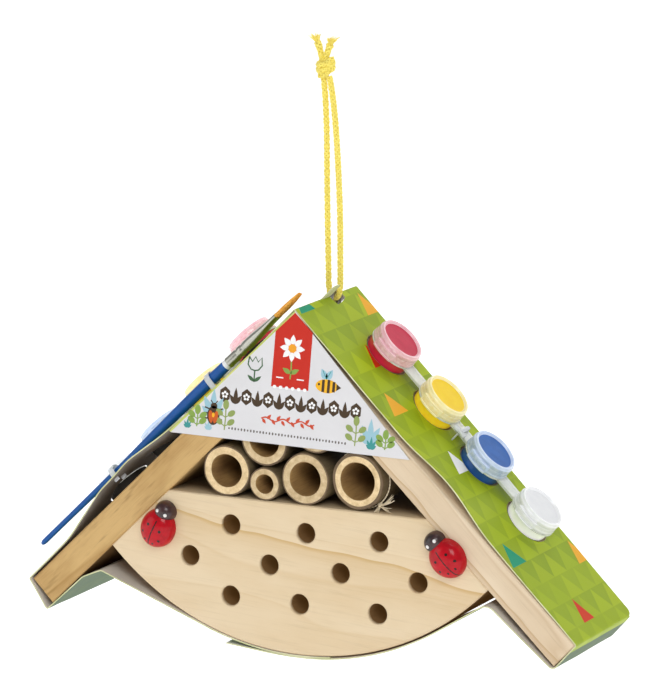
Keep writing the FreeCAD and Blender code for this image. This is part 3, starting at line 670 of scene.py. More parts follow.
def plain_paper(name, colour, shade, rough=0.7):
    """Uncoated board: faint clouds and fibres."""
    paper = Shader(name, rough)
    fibre = paper.noise(paper.place(), 1100, 5.0, 0.7)
    cloud = paper.noise(paper.place(), 60, 2.0)
    tone = paper.mix(paper.rise(cloud, 0.35, 0.7), colour, shade)
    paper.set("Base Color", paper.mix(paper.times(fibre, 0.3), tone, shade))
    paper.bump(fibre, 0.00004, 0.4)
    return paper.material


def moulded(shader, tone, glow, milky, depth, coat, polish):
    """What moulded plastics share; the glow stands for the light that comes through thin walls."""
    shader.set("Base Color", tone)
    shader.set("Emission Color", tone)
    shader.set("Emission Strength", glow)
    shader.set("Subsurface Weight", milky)
    shader.set("Subsurface Radius", (depth, depth, depth))
    shader.set("Subsurface Scale", 0.5)
    shader.set("Coat Weight", coat)
    shader.set("Coat Roughness", polish)


def plastic(name, colour, shade, rough, milky=0.0, coat=0.0, shine=0.5, glow=0.0):
    """Moulded plastic: faint flow clouds, fine surface ripple and, where milky, light inside it."""
    mould = Shader(name, rough)
    flow = mould.noise(mould.place(), 260, 3.0)
    tone = mould.mix(mould.rise(flow, 0.35, 0.7), colour, shade)
    moulded(mould, tone, glow, milky, 0.004, coat, 0.06)
    mould.set("Specular IOR Level", shine)
    mould.bump(mould.noise(mould.place(), 700, 2.0), 0.00008, 0.25)
    return mould.material


def clear_plastic(name):
    """Clear nylon, a little cloudy."""
    nylon = Shader(name, 0.12)
    cloud = nylon.noise(nylon.place(), 500, 2.0)
    nylon.set("Base Color", nylon.mix(cloud, (0.93, 0.95, 0.97), (0.80, 0.84, 0.88)))
    nylon.set("Transmission Weight", 0.4)
    nylon.set("IOR", 1.45)
    nylon.bump(cloud, 0.0001, 0.3)
    return nylon.material


def metal(name, colour, rough):
    """Bright drawn metal with faint scratches."""
    tin = Shader(name, rough)
    scratch = tin.noise(tin.place(), 1800, 4.0, 0.7)
    tin.set("Base Color", tin.mix(scratch, colour, tuple(c * 0.8 for c in colour)))
    tin.set("Metallic", 1.0)
    tin.bump(scratch, 0.00003, 0.3)
    return tin.material


def thread(name, colour, shade, scale=1600.0, sheen=0.3):
    """Spun fibre: fine lengthwise hairs, darker where they part."""
    yarn = Shader(name, 0.6)
    hair = yarn.noise(yarn.place(), scale, 3.0, 0.7)
    yarn.set("Base Color", yarn.mix(yarn.rise(hair, 0.35, 0.65), shade, colour))
    yarn.set("Sheen Weight", sheen)
    yarn.set("Sheen Roughness", 0.5)
    yarn.bump(hair, 0.0001, 0.4)
    return yarn.material


def enamel(name, marks):
    """Red gloss paint with a black middle line and dots; the flat coordinates are across and along."""
    coat = Shader(name, 0.28)
    flat = coat.node("TexCoord", {}).outputs["UV"]
    edge = coat.times(coat.maths("SUBTRACT", coat.noise(flat, 1500, 2.0), 0.5), 0.0005)
    across, along, _ = coat.axes(flat)
    line = coat.below(coat.maths("ADD", coat.maths("ABSOLUTE", across), edge), 0.00024)
    black = coat.times(line, coat.below(along, 0.0045))
    for x, z, radius in marks:
        off = coat.node("VectorMath", {0: flat, 1: (x, z, 0)}, operation="DISTANCE").outputs["Value"]
        black = coat.maths("MAXIMUM", black, coat.below(coat.maths("ADD", off, edge), radius))
    worn = coat.noise(coat.place(), 320, 3.0)
    red = coat.mix(coat.rise(worn, 0.35, 0.7), (0.50, 0.003, 0.012), (0.38, 0.002, 0.009))
    coat.set("Base Color", coat.mix(black, red, (0.02, 0.012, 0.012)))
    coat.set("Specular IOR Level", 0.1)
    coat.set("Coat Weight", 0.32)
    coat.set("Coat Roughness", 0.14)
    coat.bump(worn, 0.0003, 0.35)
    return coat.material


# ---- cord

def cord_route():
    """The cord's points from the knot down round the eye and back up, in the house's frame."""
    bend = 0.0779
    route = [(-0.0046, 0.1680), (-0.0032, 0.1580), (-0.0031, 0.1180), (-0.0027, 0.0935),
             (-0.0026, bend), (0.0026, bend),
             (0.0027, 0.0935), (0.0027, 0.1180), (0.0004, 0.1580), (-0.0019, 0.1680)]
    return [Vector((x, EYE_Y, z)) for x, z in route]


def spline(name, points):
    """Open NURBS line through the route's control points, in the frame's own place."""
    data = bpy.data.curves.new(name, "CURVE")
    data.dimensions = "3D"
    data.resolution_u = 24
    line = data.splines.new("NURBS")
    line.points.add(len(points) - 1)
    for spot, point in zip(line.points, points):
        spot.co = (*(HOUSE + point), 1)
    line.order_u = 3
    line.use_endpoint_u = True
    curve = bpy.data.objects.new(name, data)
    bpy.context.collection.objects.link(curve)
    return curve


def points_along(curve, step):
    """Evenly spaced points of a curve with no bevel, in the house's frame."""
    bpy.context.view_layer.update()
    line = bpy.data.meshes.new_from_object(curve)
    raw = [v.co.copy() - HOUSE for v in line.vertices]
    bpy.data.meshes.remove(line)
    return evenly(raw, step)


def evenly(raw, step):
    """The same line as evenly spaced points."""
    lengths = [0.0]
    for a, b in zip(raw, raw[1:]):
        lengths.append(lengths[-1] + (b - a).length)
    count = max(2, round(lengths[-1] / step))
    result = []
    index = 0
    for i in range(count + 1):
        want = lengths[-1] * i / count
        while index < len(raw) - 2 and lengths[index + 1] < want:
            index += 1
        span = lengths[index + 1] - lengths[index]
        result.append(raw[index].lerp(raw[index + 1], (want - lengths[index]) / span if span else 0))
    return result


def braid(shape, centre, diameter, phase=0.0, spread=None):
    """Eight strands that cross over and under along a line; spread opens them out near the end."""
    pitch = BRAID_PITCH * diameter
    turns = [0.0]
    for a, b in zip(centre, centre[1:]):
        turns.append(turns[-1] + (b - a).length / pitch)
    sides = []
    side = None
    last = len(centre) - 1
    for i in range(len(centre)):
        along = (centre[min(i + 1, last)] - centre[max(i - 1, 0)]).normalized()
        if side is None:
            side = along.cross(Vector((0, 1, 0.01))).normalized()
        side = (side - along * side.dot(along)).normalized()
        sides.append((side, along.cross(side)))
    # The core seen between the strands takes the second, darker look: painted shade in the gaps
    shape.add(*tube(centre, diameter * 0.30, 8), slot=1)
    for hand in (1, -1):
        for k in range(4):
            start = math.pi / 2 * k + (math.pi / 4 if hand < 0 else 0) + phase
            line = []
            for i, (point, turned_by, (across, other)) in enumerate(zip(centre, turns, sides)):
                angle = hand * 2 * math.pi * turned_by + start
                lift = hand * math.cos(8 * math.pi * turned_by + math.pi * k + phase)
                reach = diameter * (0.345 + 0.045 * lift) * (spread[i] if spread else 1)
                line.append(point + (across * math.cos(angle) + other * math.sin(angle)) * reach)
            shape.add(*tube(line, diameter * 0.145, 6))


def tail(shape, end, lean):
    """One end of the cord above the knot, frayed into separate hairs."""
    start = KNOT_CENTRE + Vector((0.0009 * lean - 0.0004, 0, 0.0022))
    bend = start.lerp(end, 0.45) + Vector((-0.0008 * lean, 0, 0.0012))
    line = evenly([bent(start, bend, end, i / 40) for i in range(31)], 0.0004)
    opening = [1.0 + 0.5 * (i / len(line)) ** 2 for i in range(len(line))]
    braid(shape, line, CORD_DIA * 0.95, phase=lean, spread=opening)
    onward = (line[-1] - line[-3]).normalized()
    for _ in range(TAIL_HAIRS):
        turn = random.uniform(0, 2 * math.pi)
        out = Vector((math.cos(turn), math.sin(turn), 0))
        root = line[-1] + out * random.uniform(0.0002, 0.0010) - onward * 0.0008
        reach = random.uniform(0.0025, 0.0046)
        flare = out * random.uniform(0.15, 0.62) * reach
        hair = [root + onward * (reach * t) + flare * t * t for t in (0, 0.35, 0.7, 1.0)]
        shape.add(*tube(hair, [0.00016, 0.00015, 0.00013, 0.00008], 4))


def knot(materials):
    """Overhand knot in both strands, with two tails that fray at their ends."""
    shape = Shape()
    random.seed(4)
    for strand in (-1, 1):
        loop = []
        for t in [i / 55 for i in range(56)]:
            angle = -0.5 * math.pi + 2 * math.pi * 1.3 * t
            tilt = 0.0011 * math.sin(angle + 0.6) + 0.0010 * strand + 0.0026 * (t - 0.5)
            reach = 0.0026 + 0.0004 * math.sin(3 * angle)
            loop.append(KNOT_CENTRE + Vector((reach * math.cos(angle) * 1.12, reach * math.sin(angle), tilt)))
        braid(shape, evenly(loop, 0.0004), CORD_DIA * 0.92, phase=strand)
        rise = [KNOT_CENTRE + Vector((0.0013 * strand * (1 - t) - 0.0006, -0.0004, -0.0046 + 0.0092 * t))
                for t in [i / 20 for i in range(21)]]
        braid(shape, evenly(rise, 0.0004), CORD_DIA * 0.9, phase=2 * strand)
    for end, lean in zip(TAIL_ENDS, (-1, 1)):
        tail(shape, end, lean)
    return make("cord_knot_tied", shape, materials, "hanger", ["cord_knot"], 80)


def hanging_cord():
    """Doubled braided cord from the knot round the eye and back, and then its knot."""
    # The second look is a darker copy of the yellow: painted shade for the core between the strands
    materials = [thread("cord_yellow", (0.98, 0.86, 0.20), (0.88, 0.70, 0.08), 900.0, 0.2),
                 thread("cord_shade", (0.78, 0.64, 0.12), (0.62, 0.48, 0.08), 900.0, 0.0)]
    curve = spline("cord_line", cord_route())
    line = points_along(curve, 0.00045)
    bpy.data.objects.remove(curve)
    shape = Shape()
    braid(shape, line, CORD_DIA)
    cord = make("hanging_cord_braided", shape, materials, "hanger", ["hanging_cord"], 80)
    tied = knot(materials)


# ---- wooden house

def wooden_house():
    """The wood keeps its CAD shape and gets its grain; the steel pieces get theirs."""
    level = (0, math.radians(-4), 0)
    down_right = (0, -ROOF_ANGLE, 0)
    down_left = (0, ROOF_ANGLE, 0)
    middle = EAVE_TOP[1] + EAVE_TOP[0] * math.tan(ROOF_ANGLE) - 0.010 / math.cos(ROOF_ANGLE)
    looks = {
        "base_block": wood("pine_block", (0.75, 0.610, 0.415), (0.58, 0.385, 0.165), level, 0.25,
                           seam=FRONT_GRAIN, board=False),
        "roof_board_right": wood("pine_right", (0.76, 0.63, 0.46), (0.52, 0.36, 0.20), down_right, 0.45,
                                 0.1, seam=(-math.tan(ROOF_ANGLE), middle)),
        "roof_board_left": wood("pine_left", (0.61, 0.405, 0.170), (0.32, 0.165, 0.042), down_left, 0.50,
                                0.42),
        "roof_brads": metal("brad_steel", (0.66, 0.66, 0.66), 0.35),
        # The eye's steel is darker than the brads': partly its own duller metal, partly painted shade of the
        # cord hole it sits in
        "screw_eye": metal("eye_steel", (0.34, 0.33, 0.31), 0.35),
    }
    for node, material in looks.items():
        shown = bpy.data.objects[node]
        shown.data.materials.clear()
        shown.data.materials.append(material)


def cane(number, materials):
    """One length of bamboo with an uneven outline, softened rims and its closed joint inside."""
    outside, bore, skin = CANES[number]
    node = "bamboo_tube_%d" % number
    low, high = (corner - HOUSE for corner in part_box(node))
    length = high.y - low.y
    radius, inner = outside / 2, bore / 2
    front_joint, back_joint = (y - low.y for y in CANE_NODE)
    rim = 0.0004
    profile = [(0, front_joint, 2), (inner * 0.55, front_joint, 2), (inner * 0.97, front_joint - 0.0012, 2),
               (inner, front_joint - 0.004, 2), (inner, rim * 1.5, 2), (inner + rim, 0, 0),
               (radius - skin - rim * 0.8, 0, 1), (radius - rim * 0.5, 0, 1), (radius, rim, 3),
               (radius, length * 0.35, 3), (radius, length * 0.7, 3), (radius, length - rim, 3),
               (radius - rim * 0.5, length, 1), (radius - skin, length, 0), (inner + rim, length, 0),
               (inner, length - rim * 1.5, 2), (inner, back_joint + 0.004, 2),
               (inner * 0.97, back_joint + 0.0012, 2), (inner * 0.55, back_joint, 2), (0, back_joint, 2)]

    def wobble(angle):
        """The cane's radius at an angle, as a share of the usual one."""
        waves = ((0.010, 2, 1.3), (0.006, 3, 2.1), (0.004, 7, 0.7))
        return 0.990 + sum(size * math.sin(count * angle + number * shift) for size, count, shift in waves)

    stand = Matrix.Translation(((low.x + high.x) / 2, low.y, (low.z + high.z) / 2))
    shape = Shape()
    shape.join(turned(profile, 72, wobble), stand @ Matrix.Rotation(-math.pi / 2, 4, "X"))
    make(node + "_cane", shape, materials, "house", [node], 50)


def bamboo():
    """All canes; the fresh ones have a paler cut."""
    end = cut_bamboo("bamboo_end", 1.0)
    fresh_end = cut_bamboo("bamboo_end_fresh", 1.25)
    ring = bamboo_side("bamboo_rim", (0.19, 0.125, 0.065), (0.09, 0.055, 0.028), 0.7)
    # The bore is a darker brown than the cut face: the cane's own brown with painted shade of the hollow in
    # it
    bore = bamboo_side("bamboo_bore", (0.34, 0.20, 0.066), (0.19, 0.10, 0.031), 0.8)
    skin = bamboo_side("bamboo_skin", (0.17, 0.125, 0.062), (0.09, 0.062, 0.030), 0.6)
    for number in CANES:
        cane(number, [fresh_end if number in FRESH_CANES else end, ring, bore, skin])


def around(angle):
    """Direction at an angle in the plane of the house's front."""
    return Vector((math.cos(angle), 0, math.sin(angle)))


def twine():
    """Two-ply twine once round a cane, with a small knot and frayed ends beside it."""
    random.seed(11)
    shape = Shape()
    low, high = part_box("bamboo_tube_%d" % TWINE_CANE)
    middle = (low + high) / 2 - HOUSE
    centre = Vector((middle.x, TWINE_Y, middle.z))
    reach = CANES[TWINE_CANE][0] / 2 + 0.0004
    spot = centre + around(math.radians(-52)) * (reach + 0.0007)
    for ply in (0, math.pi):
        ring = [centre + around(turn) * (reach + TWINE_PLY * math.cos(26 * turn + ply))
                + Vector((0, TWINE_PLY * math.sin(26 * turn + ply), 0)) for turn in angles(240)]
        shape.add(*tube(ring, 0.00016, 6, closed=True))
    for tilt in (0.2, 1.1, 2.0, 2.7):
        upright = Vector((0, math.cos(tilt), math.sin(tilt))) * 0.0009
        loop = [spot + Vector((0.0009 * math.cos(a), 0, 0)) + upright * math.sin(a) for a in angles(24)]
        shape.add(*tube(loop, 0.00030, 6, closed=True))
    for aim, sag, length in TWINE_TAILS:
        for _ in range(9):
            spread = Vector([random.uniform(-0.16, 0.16) for _ in range(3)])
            start = spot + spread * 0.0012
            hair = [start + (Vector(aim) * t + (Vector(sag) * 0.5 + spread) * t * t) * length
                    for t in (0, 0.25, 0.5, 0.75, 1.0)]
            shape.add(*tube(hair, [0.00017, 0.00017, 0.00015, 0.00012, 0.00006], 4))
    look = thread("jute_twine", (0.95, 0.85, 0.64), (0.76, 0.62, 0.40), 1500.0, 0.2)
    make("bamboo_twine_frayed", shape, [look], "house", ["bamboo_twine"], 80)


# ---- ladybirds

def dome(half_width, height, half_length, centre):
    """Half ellipsoid on the front plane whose side drops a little steeper than a true one."""
    steps, rings = 48, 14
    points = []
    for tilt in [math.pi / 2 * i / rings for i in range(rings + 1)]:
        spread, lift = math.sin(tilt) ** 0.86, math.cos(tilt) ** 0.8
        points += [centre + Vector((half_width * spread * math.cos(turn), -height * lift,
                                    half_length * spread * math.sin(turn))) for turn in angles(steps)]
    return points, band_faces(rings + 1, steps) + [[rings * steps + k for k in range(steps)]]


def ladybirds():
    """Two glued beetles: red body, black head and two white eyes."""
    red = enamel("ladybird_enamel", BUG_DOTS)
    black = plastic("ladybird_black", (0.018, 0.010, 0.012), (0.070, 0.016, 0.018), 0.35, coat=0.25)
    white = plastic("ladybird_eye", (0.85, 0.85, 0.84), (0.70, 0.70, 0.68), 0.3, coat=0.5)
    body = dome(BUG_WIDTH / 2, BUG_HEIGHT, BUG_LENGTH / 2, Vector((0, 0, 0)))
    head = dome(BUG_HEAD_WIDTH / 2, BUG_HEAD_HEIGHT, BUG_HEAD_LENGTH / 2, Vector((0, 0, BUG_LENGTH / 2)))
    for side, (x, z, lean) in LADYBIRDS.items():
        stand = Matrix.Translation((x, FRONT, z)) @ Matrix.Rotation(lean, 4, "Y")
        shape = Shape()
        shape.add(*body, 0, stand)
        shape.add(*head, 1, stand)
        for eye in (-1, 1):
            shape.add(*ellipsoid(BUG_EYE_PLACE * Vector((eye, 1, 1)), BUG_EYE, 14, 8), 2, stand)
        node = "ladybird_" + side
        make(node + "_painted", shape, [red, black, white], "house", [node], 60)


# ---- card sleeve

def tangent_point(point, radius, upper):
    """Where the line from a point touches the circle round the block's arc centre."""
    dx, dz = point[0], point[1] - ARC_CENTRE_Z
    swing = math.acos(radius / math.hypot(dx, dz))
    angle = math.atan2(dz, dx) + (swing if upper else -swing)
    return (radius * math.cos(angle), ARC_CENTRE_Z + radius * math.sin(angle))


def meet(a, b, c, d):
    """Crossing of the lines ab and cd."""
    ux, uz = b[0] - a[0], b[1] - a[1]
    vx, vz = d[0] - c[0], d[1] - c[1]
    t = ((c[0] - a[0]) * vz - (c[1] - a[1]) * vx) / (ux * vz - uz * vx)
    return (a[0] + ux * t, a[1] + uz * t)


def panel_point(side, slope_distance, rise):
    """(x, z) of a place on the sloping card, or above it."""
    place = roof_frame(side) @ Vector((SIDES[side] * slope_distance, 0, rise))
    return (place.x, place.z)


def sleeve_corners():
    """Corners of the sleeve's middle line and their radii, from its free tip round to its end."""
    inner = BLOCK_ARC + CARD_GAP + CARD / 2
    outer = inner + CARD + 0.0001
    right_crest, left_crest = (0.0846, -0.0314), (-0.0900, -0.0369)
    end_angle = -math.acos(SEAM_OVERLAP / inner)
    end = (SEAM_OVERLAP, ARC_CENTRE_Z + inner * math.sin(end_angle))
    end_ahead = (end[0] - 0.001 * math.sin(end_angle), end[1] + 0.001 * math.cos(end_angle))
    right_touch = tangent_point(right_crest, outer, False)
    left_touch = tangent_point(left_crest, inner, True)
    tip_touch = tangent_point(SEAM_TIP, outer, True)
    return [
        (SEAM_TIP, 0),
        (meet(SEAM_TIP, tip_touch, right_crest, right_touch), outer),
        (right_crest, 0.0050),
        ((EAVE_LOW[0] - 0.0002, EAVE_LOW[1] - 0.0015), 0.0022),
        (PANEL_END, 0.0006),
        ((0, RIDGE_Z), 0.0006),
        (panel_point("left", 0.0840, 0.0), 0.060),
        (panel_point("left", 0.1040, BULGE), 0.030),
        (panel_point("left", 0.1220, BULGE), 0.030),
        (panel_point("left", 0.1480, 0.0002), 0.050),
        (LEFT_PANEL_END, 0.0006),
        ((-EAVE_LOW[0] - 0.0025, EAVE_LOW[1] - 0.0028), 0.0007),
        ((-0.0986, -0.0406), 0.0050),
        (left_crest, 0.0025),
        (meet(left_crest, left_touch, end, end_ahead), inner),
        (end_ahead, 0),
    ]


class FoldLine:
    """The sleeve's middle line as points with their distance along it and outward direction."""

    def __init__(self, corners):
        step = 0.003
        raw = [Vector(corners[0][0])]
        for (before, _), (corner, radius), (after, _) in zip(corners, corners[1:], corners[2:]):
            here = Vector(corner)
            back = (Vector(before) - here).normalized()
            ahead = (Vector(after) - here).normalized()
            half_turn = (math.pi - back.angle(ahead)) / 2
            reach = radius * math.tan(half_turn)
            bisector = (back + ahead).normalized()
            centre = here + bisector * (radius / math.cos(half_turn))
            start, end = here + back * reach, here + ahead * reach
            first = start - centre
            turn = first.angle_signed(end - centre)
            pieces = max(3, math.ceil(abs(turn) * radius / step), math.ceil(abs(turn) / 0.30))
            raw += [centre + Matrix.Rotation(-turn * i / pieces, 2) @ first for i in range(pieces + 1)]
        raw.append(Vector(corners[-1][0]))
        self.points = [raw[0]]
        for a, b in zip(raw, raw[1:]):
            count = max(1, math.ceil((b - a).length / step))
            self.points += [a.lerp(b, i / count) for i in range(1, count + 1)]
        self.runs = [0.0]
        for a, b in zip(self.points, self.points[1:]):
            self.runs.append(self.runs[-1] + (b - a).length)

    def normal(self, index):
        """Outward direction at one of the line's points."""
        before = self.points[max(index - 1, 0)]
        after = self.points[min(index + 1, len(self.points) - 1)]
        along = (after - before).normalized()
        return Vector((along.y, -along.x))

    def at(self, run):
        """Point and outward direction at a distance along the line."""
        index = 0
        while index < len(self.runs) - 2 and self.runs[index + 1] < run:
            index += 1
        span = self.runs[index + 1] - self.runs[index]
        t = (run - self.runs[index]) / span
        return (self.points[index].lerp(self.points[index + 1], t),
                self.normal(index).lerp(self.normal(index + 1), t).normalized())

    def nearest(self, spot):
        """Distance along the line of its point nearest to a spot."""
        best = min(range(len(self.points)), key=lambda i: (self.points[i] - Vector(spot)).length)
        return self.runs[best]

    def under(self, side, slope_distance):
        """Distance along the line where the panel passes under a place on the slope."""
        foot, top = (Vector(panel_point(side, slope_distance, rise)) for rise in (-0.01, 0.02))
        along = top - foot
        for index, (a, b) in enumerate(zip(self.points, self.points[1:])):
            first, second = along.cross(a - foot), along.cross(b - foot)
            on_panel = a.x * SIDES[side] > -0.001 and a.y > EAVE_TOP[1]
            if first * second <= 0 and first != second and on_panel:
                return self.runs[index] + (b - a).length * first / (first - second)
        raise ValueError("no card under that place")


def cutter(outline, name):
    """Block through the flat card with the (run, depth) outline."""
    return scratch_solid(name, *slab(outline, -0.003, 0.003))


def circle(x, y, radius):
    """Outline of a round hole."""
    return [(x + radius * math.cos(a), y + radius * math.sin(a)) for a in angles(48)]


def sheet(line):
    """Points and faces of the uncut sleeve laid flat: (distance, depth, height) about the line."""
    rows = 14
    depths = [SLEEVE_DEPTH * (i / rows - 0.5) for i in range(rows + 1)]
    points = [Vector((run, y, t)) for t in (-CARD / 2, CARD / 2) for run in line.runs for y in depths]
    wide, columns = rows + 1, len(line.runs)
    layer = wide * columns
    cells = [(i, k) for i in range(columns - 1) for k in range(rows)]
    faces = []
    for a in (i * wide + k for i, k in cells):
        faces.append([a, a + 1, a + wide + 1, a + wide])
        faces.append([layer + a, layer + a + wide, layer + a + wide + 1, layer + a + 1])
    for a in (i * wide + k for i in range(columns - 1) for k in (0, rows)):
        faces.append([a, a + wide, layer + a + wide, layer + a])
    for a in (i * wide + k for k in range(rows) for i in (0, columns - 1)):
        faces.append([a, a + 1, layer + a + 1, layer + a])
    return points, faces


def openings(line, ridge):
    """Outlines of the die-cut pot holes, the cord hole, the tongue's slit and the rounded corners."""
    holes = [circle(line.under(side, POT_FIRST[side] + i * POT_PITCH), POT_Y[side], POT_RADIUS + 0.0005)
             for side in SIDES for i in range(len(PAINTS))]
    front, back = CORD_HOLE_Y
    holes.append([(ridge - 0.0046, front + 0.0012), (ridge - 0.0020, front), (ridge + 0.0028, front),
                  (ridge + 0.0028, back), (ridge - 0.0028, back), (ridge - 0.0040, back - 0.0035)])
    front, back = TONGUE_Y[0] - 0.0004, TONGUE_Y[1] + 0.0004
    near, far = ridge + 0.0004, ridge + 0.0014
    holes.append([(near, front), (far, front), (far, back), (near, back)])
    for corner in (PANEL_END, LEFT_PANEL_END):
        holes.append(fold_notch(line.nearest(corner), SLEEVE_DEPTH / 2, 0.0030))
    return holes


def flat_sleeve(line, ridge):
    """The whole sleeve laid flat, a closed sheet with its die-cut openings."""
    card = scratch_solid("card_flat", *sheet(line))
    for number, outline in enumerate(openings(line, ridge)):
        tool = cutter(outline, "card_cutter_%d" % number)
        cut = card.modifiers.new("cut", "BOOLEAN")
        cut.operation = "DIFFERENCE"
        cut.solver = "EXACT"
        cut.object = tool
        bpy.context.view_layer.update()
        result = bpy.data.meshes.new_from_object(card.evaluated_get(bpy.context.evaluated_depsgraph_get()))
        card.modifiers.clear()
        card.data = result
        bpy.data.objects.remove(tool)
    return card


def fold_notch(fold, edge, size):
    """Outline that rounds off the card's back corners on both sides of a fold."""
    arc = [math.pi / 2 * i / 6 for i in range(7)]
    near = [(fold - size + size * math.sin(a), edge - size + size * math.cos(a)) for a in arc]
    far = [(2 * fold - x, y) for x, y in reversed(near)]
    return [(fold - size, edge + 0.001)] + near + far[1:] + [(fold + size, edge + 0.001)]


def bow_at(along, depth):
    """How far the front edge of the card stands off the roof, at a distance down from the ridge."""
    for start, end, rise in BOWS:
        share = (along - start) / (end - start)
        if 0 < share < 1 and depth < 0:
            return rise * math.sin(math.pi * share) ** 2 * (-2 * depth / SLEEVE_DEPTH) ** 2
    return 0.0


def card_sleeve():
    """Folds the flat sheet round the house; it is printed outside and plain inside."""
    line = FoldLine(sleeve_corners())
    ridge = line.nearest((0, RIDGE_Z))
    card = flat_sleeve(line, ridge)
    flat = card.data
    points = []
    for run, depth, out in (vertex.co for vertex in flat.vertices):
        spot, outward = line.at(run)
        ripple = 0.00012 * (noise.noise(Vector((run * 60, depth * 60, 0.3))) + 0.6)
        place = spot + outward * (out + bow_at(ridge - run, depth) + ripple)
        points.append(Vector((place.x, depth, place.y)))
    slots = []
    # Inside faces of the bulging left panel get the dark grey card as painted shade; the rest of the inside
    # gets the pale card
    for face in flat.polygons:
        bulging = 0 < face.center.x - ridge < PANEL_RUN
        within = 1 if bulging else 3
        slots.append(0 if face.normal.z > 0.5 else within if face.normal.z < -0.5 else 2)
    shape = Shape()
    shape.add(points, [list(face.vertices) for face in flat.polygons], slots, None,
              [(v.co.x - ridge, v.co.y) for v in flat.vertices])
    add_tongue(shape)
    bpy.data.objects.remove(card)
    # card_inside is the inner card darkened as painted shade, card_inside_pale is its lit copy
    looks = [printed_card(), plain_paper("card_inside", (0.36, 0.33, 0.30), (0.27, 0.245, 0.22)),
             plain_paper("card_edge", (0.72, 0.72, 0.46), (0.50, 0.52, 0.24)),
             plain_paper("card_inside_pale", (0.88, 0.83, 0.74), (0.76, 0.71, 0.63))]
    make("card_sleeve_folded", shape, looks, "house", ["card_sleeve"], 25)


def add_tongue(shape):
    """Locking tongue of the left panel that stands up through its slit at the ridge."""
    low, high = TONGUE_Y
    nip = 0.0018
    outline = [(-0.001, low), (TONGUE_RISE - nip, low)]
    outline += [(TONGUE_RISE - nip + nip * math.sin(a), low + nip - nip * math.cos(a))
                for a in [math.pi / 2 * i / 5 for i in range(1, 6)]]
    outline += [(x, low + high - y) for x, y in reversed(outline)]
    points, faces = slab(outline, -CARD / 2, CARD / 2)
    slots = [2] * (len(faces) - 1) + [0]
    shape.add(points, faces, slots, roof_frame("left"), [(0.001 + p.x * 0.1, p.y) for p in points])


# ---- gable label and its printed art

def art_point(x, z):
    """Label artwork is drawn upright about the gable's tip, and printed a little askew."""
    return (LABEL_CORNERS[2][0] + x + ART_LEAN * z, LABEL_CORNERS[2][1] + z - ART_FALL * x)


class Artwork:
    """Flat printed shapes, each a thin plate a little proud of the one before."""

    def __init__(self, face_y):
        self.shape = Shape()
        self.face_y = face_y
        self.inks = []

    def ink(self, outline, colour, layer=1):
        """Filled outline in one ink; higher layers lie over lower ones."""
        if colour not in self.inks:
            self.inks.append(colour)
        places = [art_point(x, z) for x, z in outline]
        points, faces = slab(places, 0, layer * LAYER + 0.00003)
        turned_points = [Vector((p.x, self.face_y + 0.00003 - p.z, p.y)) for p in points]
        self.shape.add(turned_points, faces, self.inks.index(colour))

    def oval(self, x, z, rx, rz, colour, layer=1, turn=0.0, steps=28):
        self.ink([(x + rx * math.cos(a) * math.cos(turn) - rz * math.sin(a) * math.sin(turn),
                   z + rx * math.cos(a) * math.sin(turn) + rz * math.sin(a) * math.cos(turn))
                  for a in angles(steps)], colour, layer)

    def leaf(self, x, z, length, width, aim, colour, layer=1):
        """Pointed leaf from its stem end at (x, z), aimed at an angle from upright."""
        outline = []
        for side in (1, -1):
            for i in range(9):
                t = i / 9 if side > 0 else 1 - i / 9
                w = side * width / 2 * math.sin(math.pi * t ** 0.8)
                outline.append((x + length * t * math.sin(aim) + w * math.cos(aim),
                                z + length * t * math.cos(aim) - w * math.sin(aim)))
        self.ink(outline, colour, layer)

    def stroke(self, points, width, colour, layer=1):
        """Line of even width through the points."""
        left, right = [], []
        for i, (x, z) in enumerate(points):
            before, after = points[max(i - 1, 0)], points[min(i + 1, len(points) - 1)]
            along = Vector((after[0] - before[0], after[1] - before[1])).normalized()
            left.append((x - along.y * width / 2, z + along.x * width / 2))
            right.append((x + along.y * width / 2, z - along.x * width / 2))
        self.ink(left + right[::-1], colour, layer)


def badge(art):
    """Red pennant with a plain white daisy, two leaves and a scalloped foot."""
    foot = -0.0316
    art.ink([(0.0003, -0.0006), (0.0088, -0.0080), (0.0089, foot), (-0.0078, foot), (-0.0077, -0.0090)],
            "red")
    for k in range(6):
        art.oval(-0.0062 + 0.0027 * k, foot, 0.0008, 0.0007, "white", 2)
    x, z = 0.0004, -0.0152
    for aim in angles(8):
        art.leaf(x + 0.0013 * math.sin(aim), z + 0.0013 * math.cos(aim), 0.0043, 0.0024, aim, "white", 2)
    art.oval(x, z, 0.0018, 0.0018, "orange", 3)
    art.stroke([(x, -0.0206), (x + 0.0002, -0.0245), (x, -0.0278)], 0.0006, "leaf_green", 2)
    for side in (1, -1):
        art.leaf(x, -0.0255, 0.0042, 0.0020, side * math.radians(62), "leaf_green", 2)
        art.stroke([(x + 0.0030 * side, -0.0276), (x + 0.0062 * side, -0.0276)], 0.0005, "white", 2)


def bee(art):
    """Striped bee with two wings, its head to the left."""
    x, z = 0.0169, -0.0288
    for turn in (-0.5, 0.5):
        art.leaf(x - 0.0004, z + 0.0024, 0.0052, 0.0028, turn, "sky", 1)
        art.stroke([(x - 0.0004, z + 0.0028), (x - 0.0004 + 0.0036 * turn, z + 0.0062)], 0.0003, "teal", 2)
    art.oval(x, z, 0.0050, 0.0028, "amber", 2)
    for k, half in ((-0.0016, 0.0025), (0.0008, 0.0027), (0.0031, 0.0021)):
        art.stroke([(x + k, z - half), (x + k, z + half)], 0.0012, "brown", 3)
    art.ink([(x + 0.0043, z - 0.0014), (x + 0.0064, z), (x + 0.0043, z + 0.0014)], "brown", 3)
    art.oval(x - 0.0035, z + 0.0005, 0.0005, 0.0005, "brown", 3)


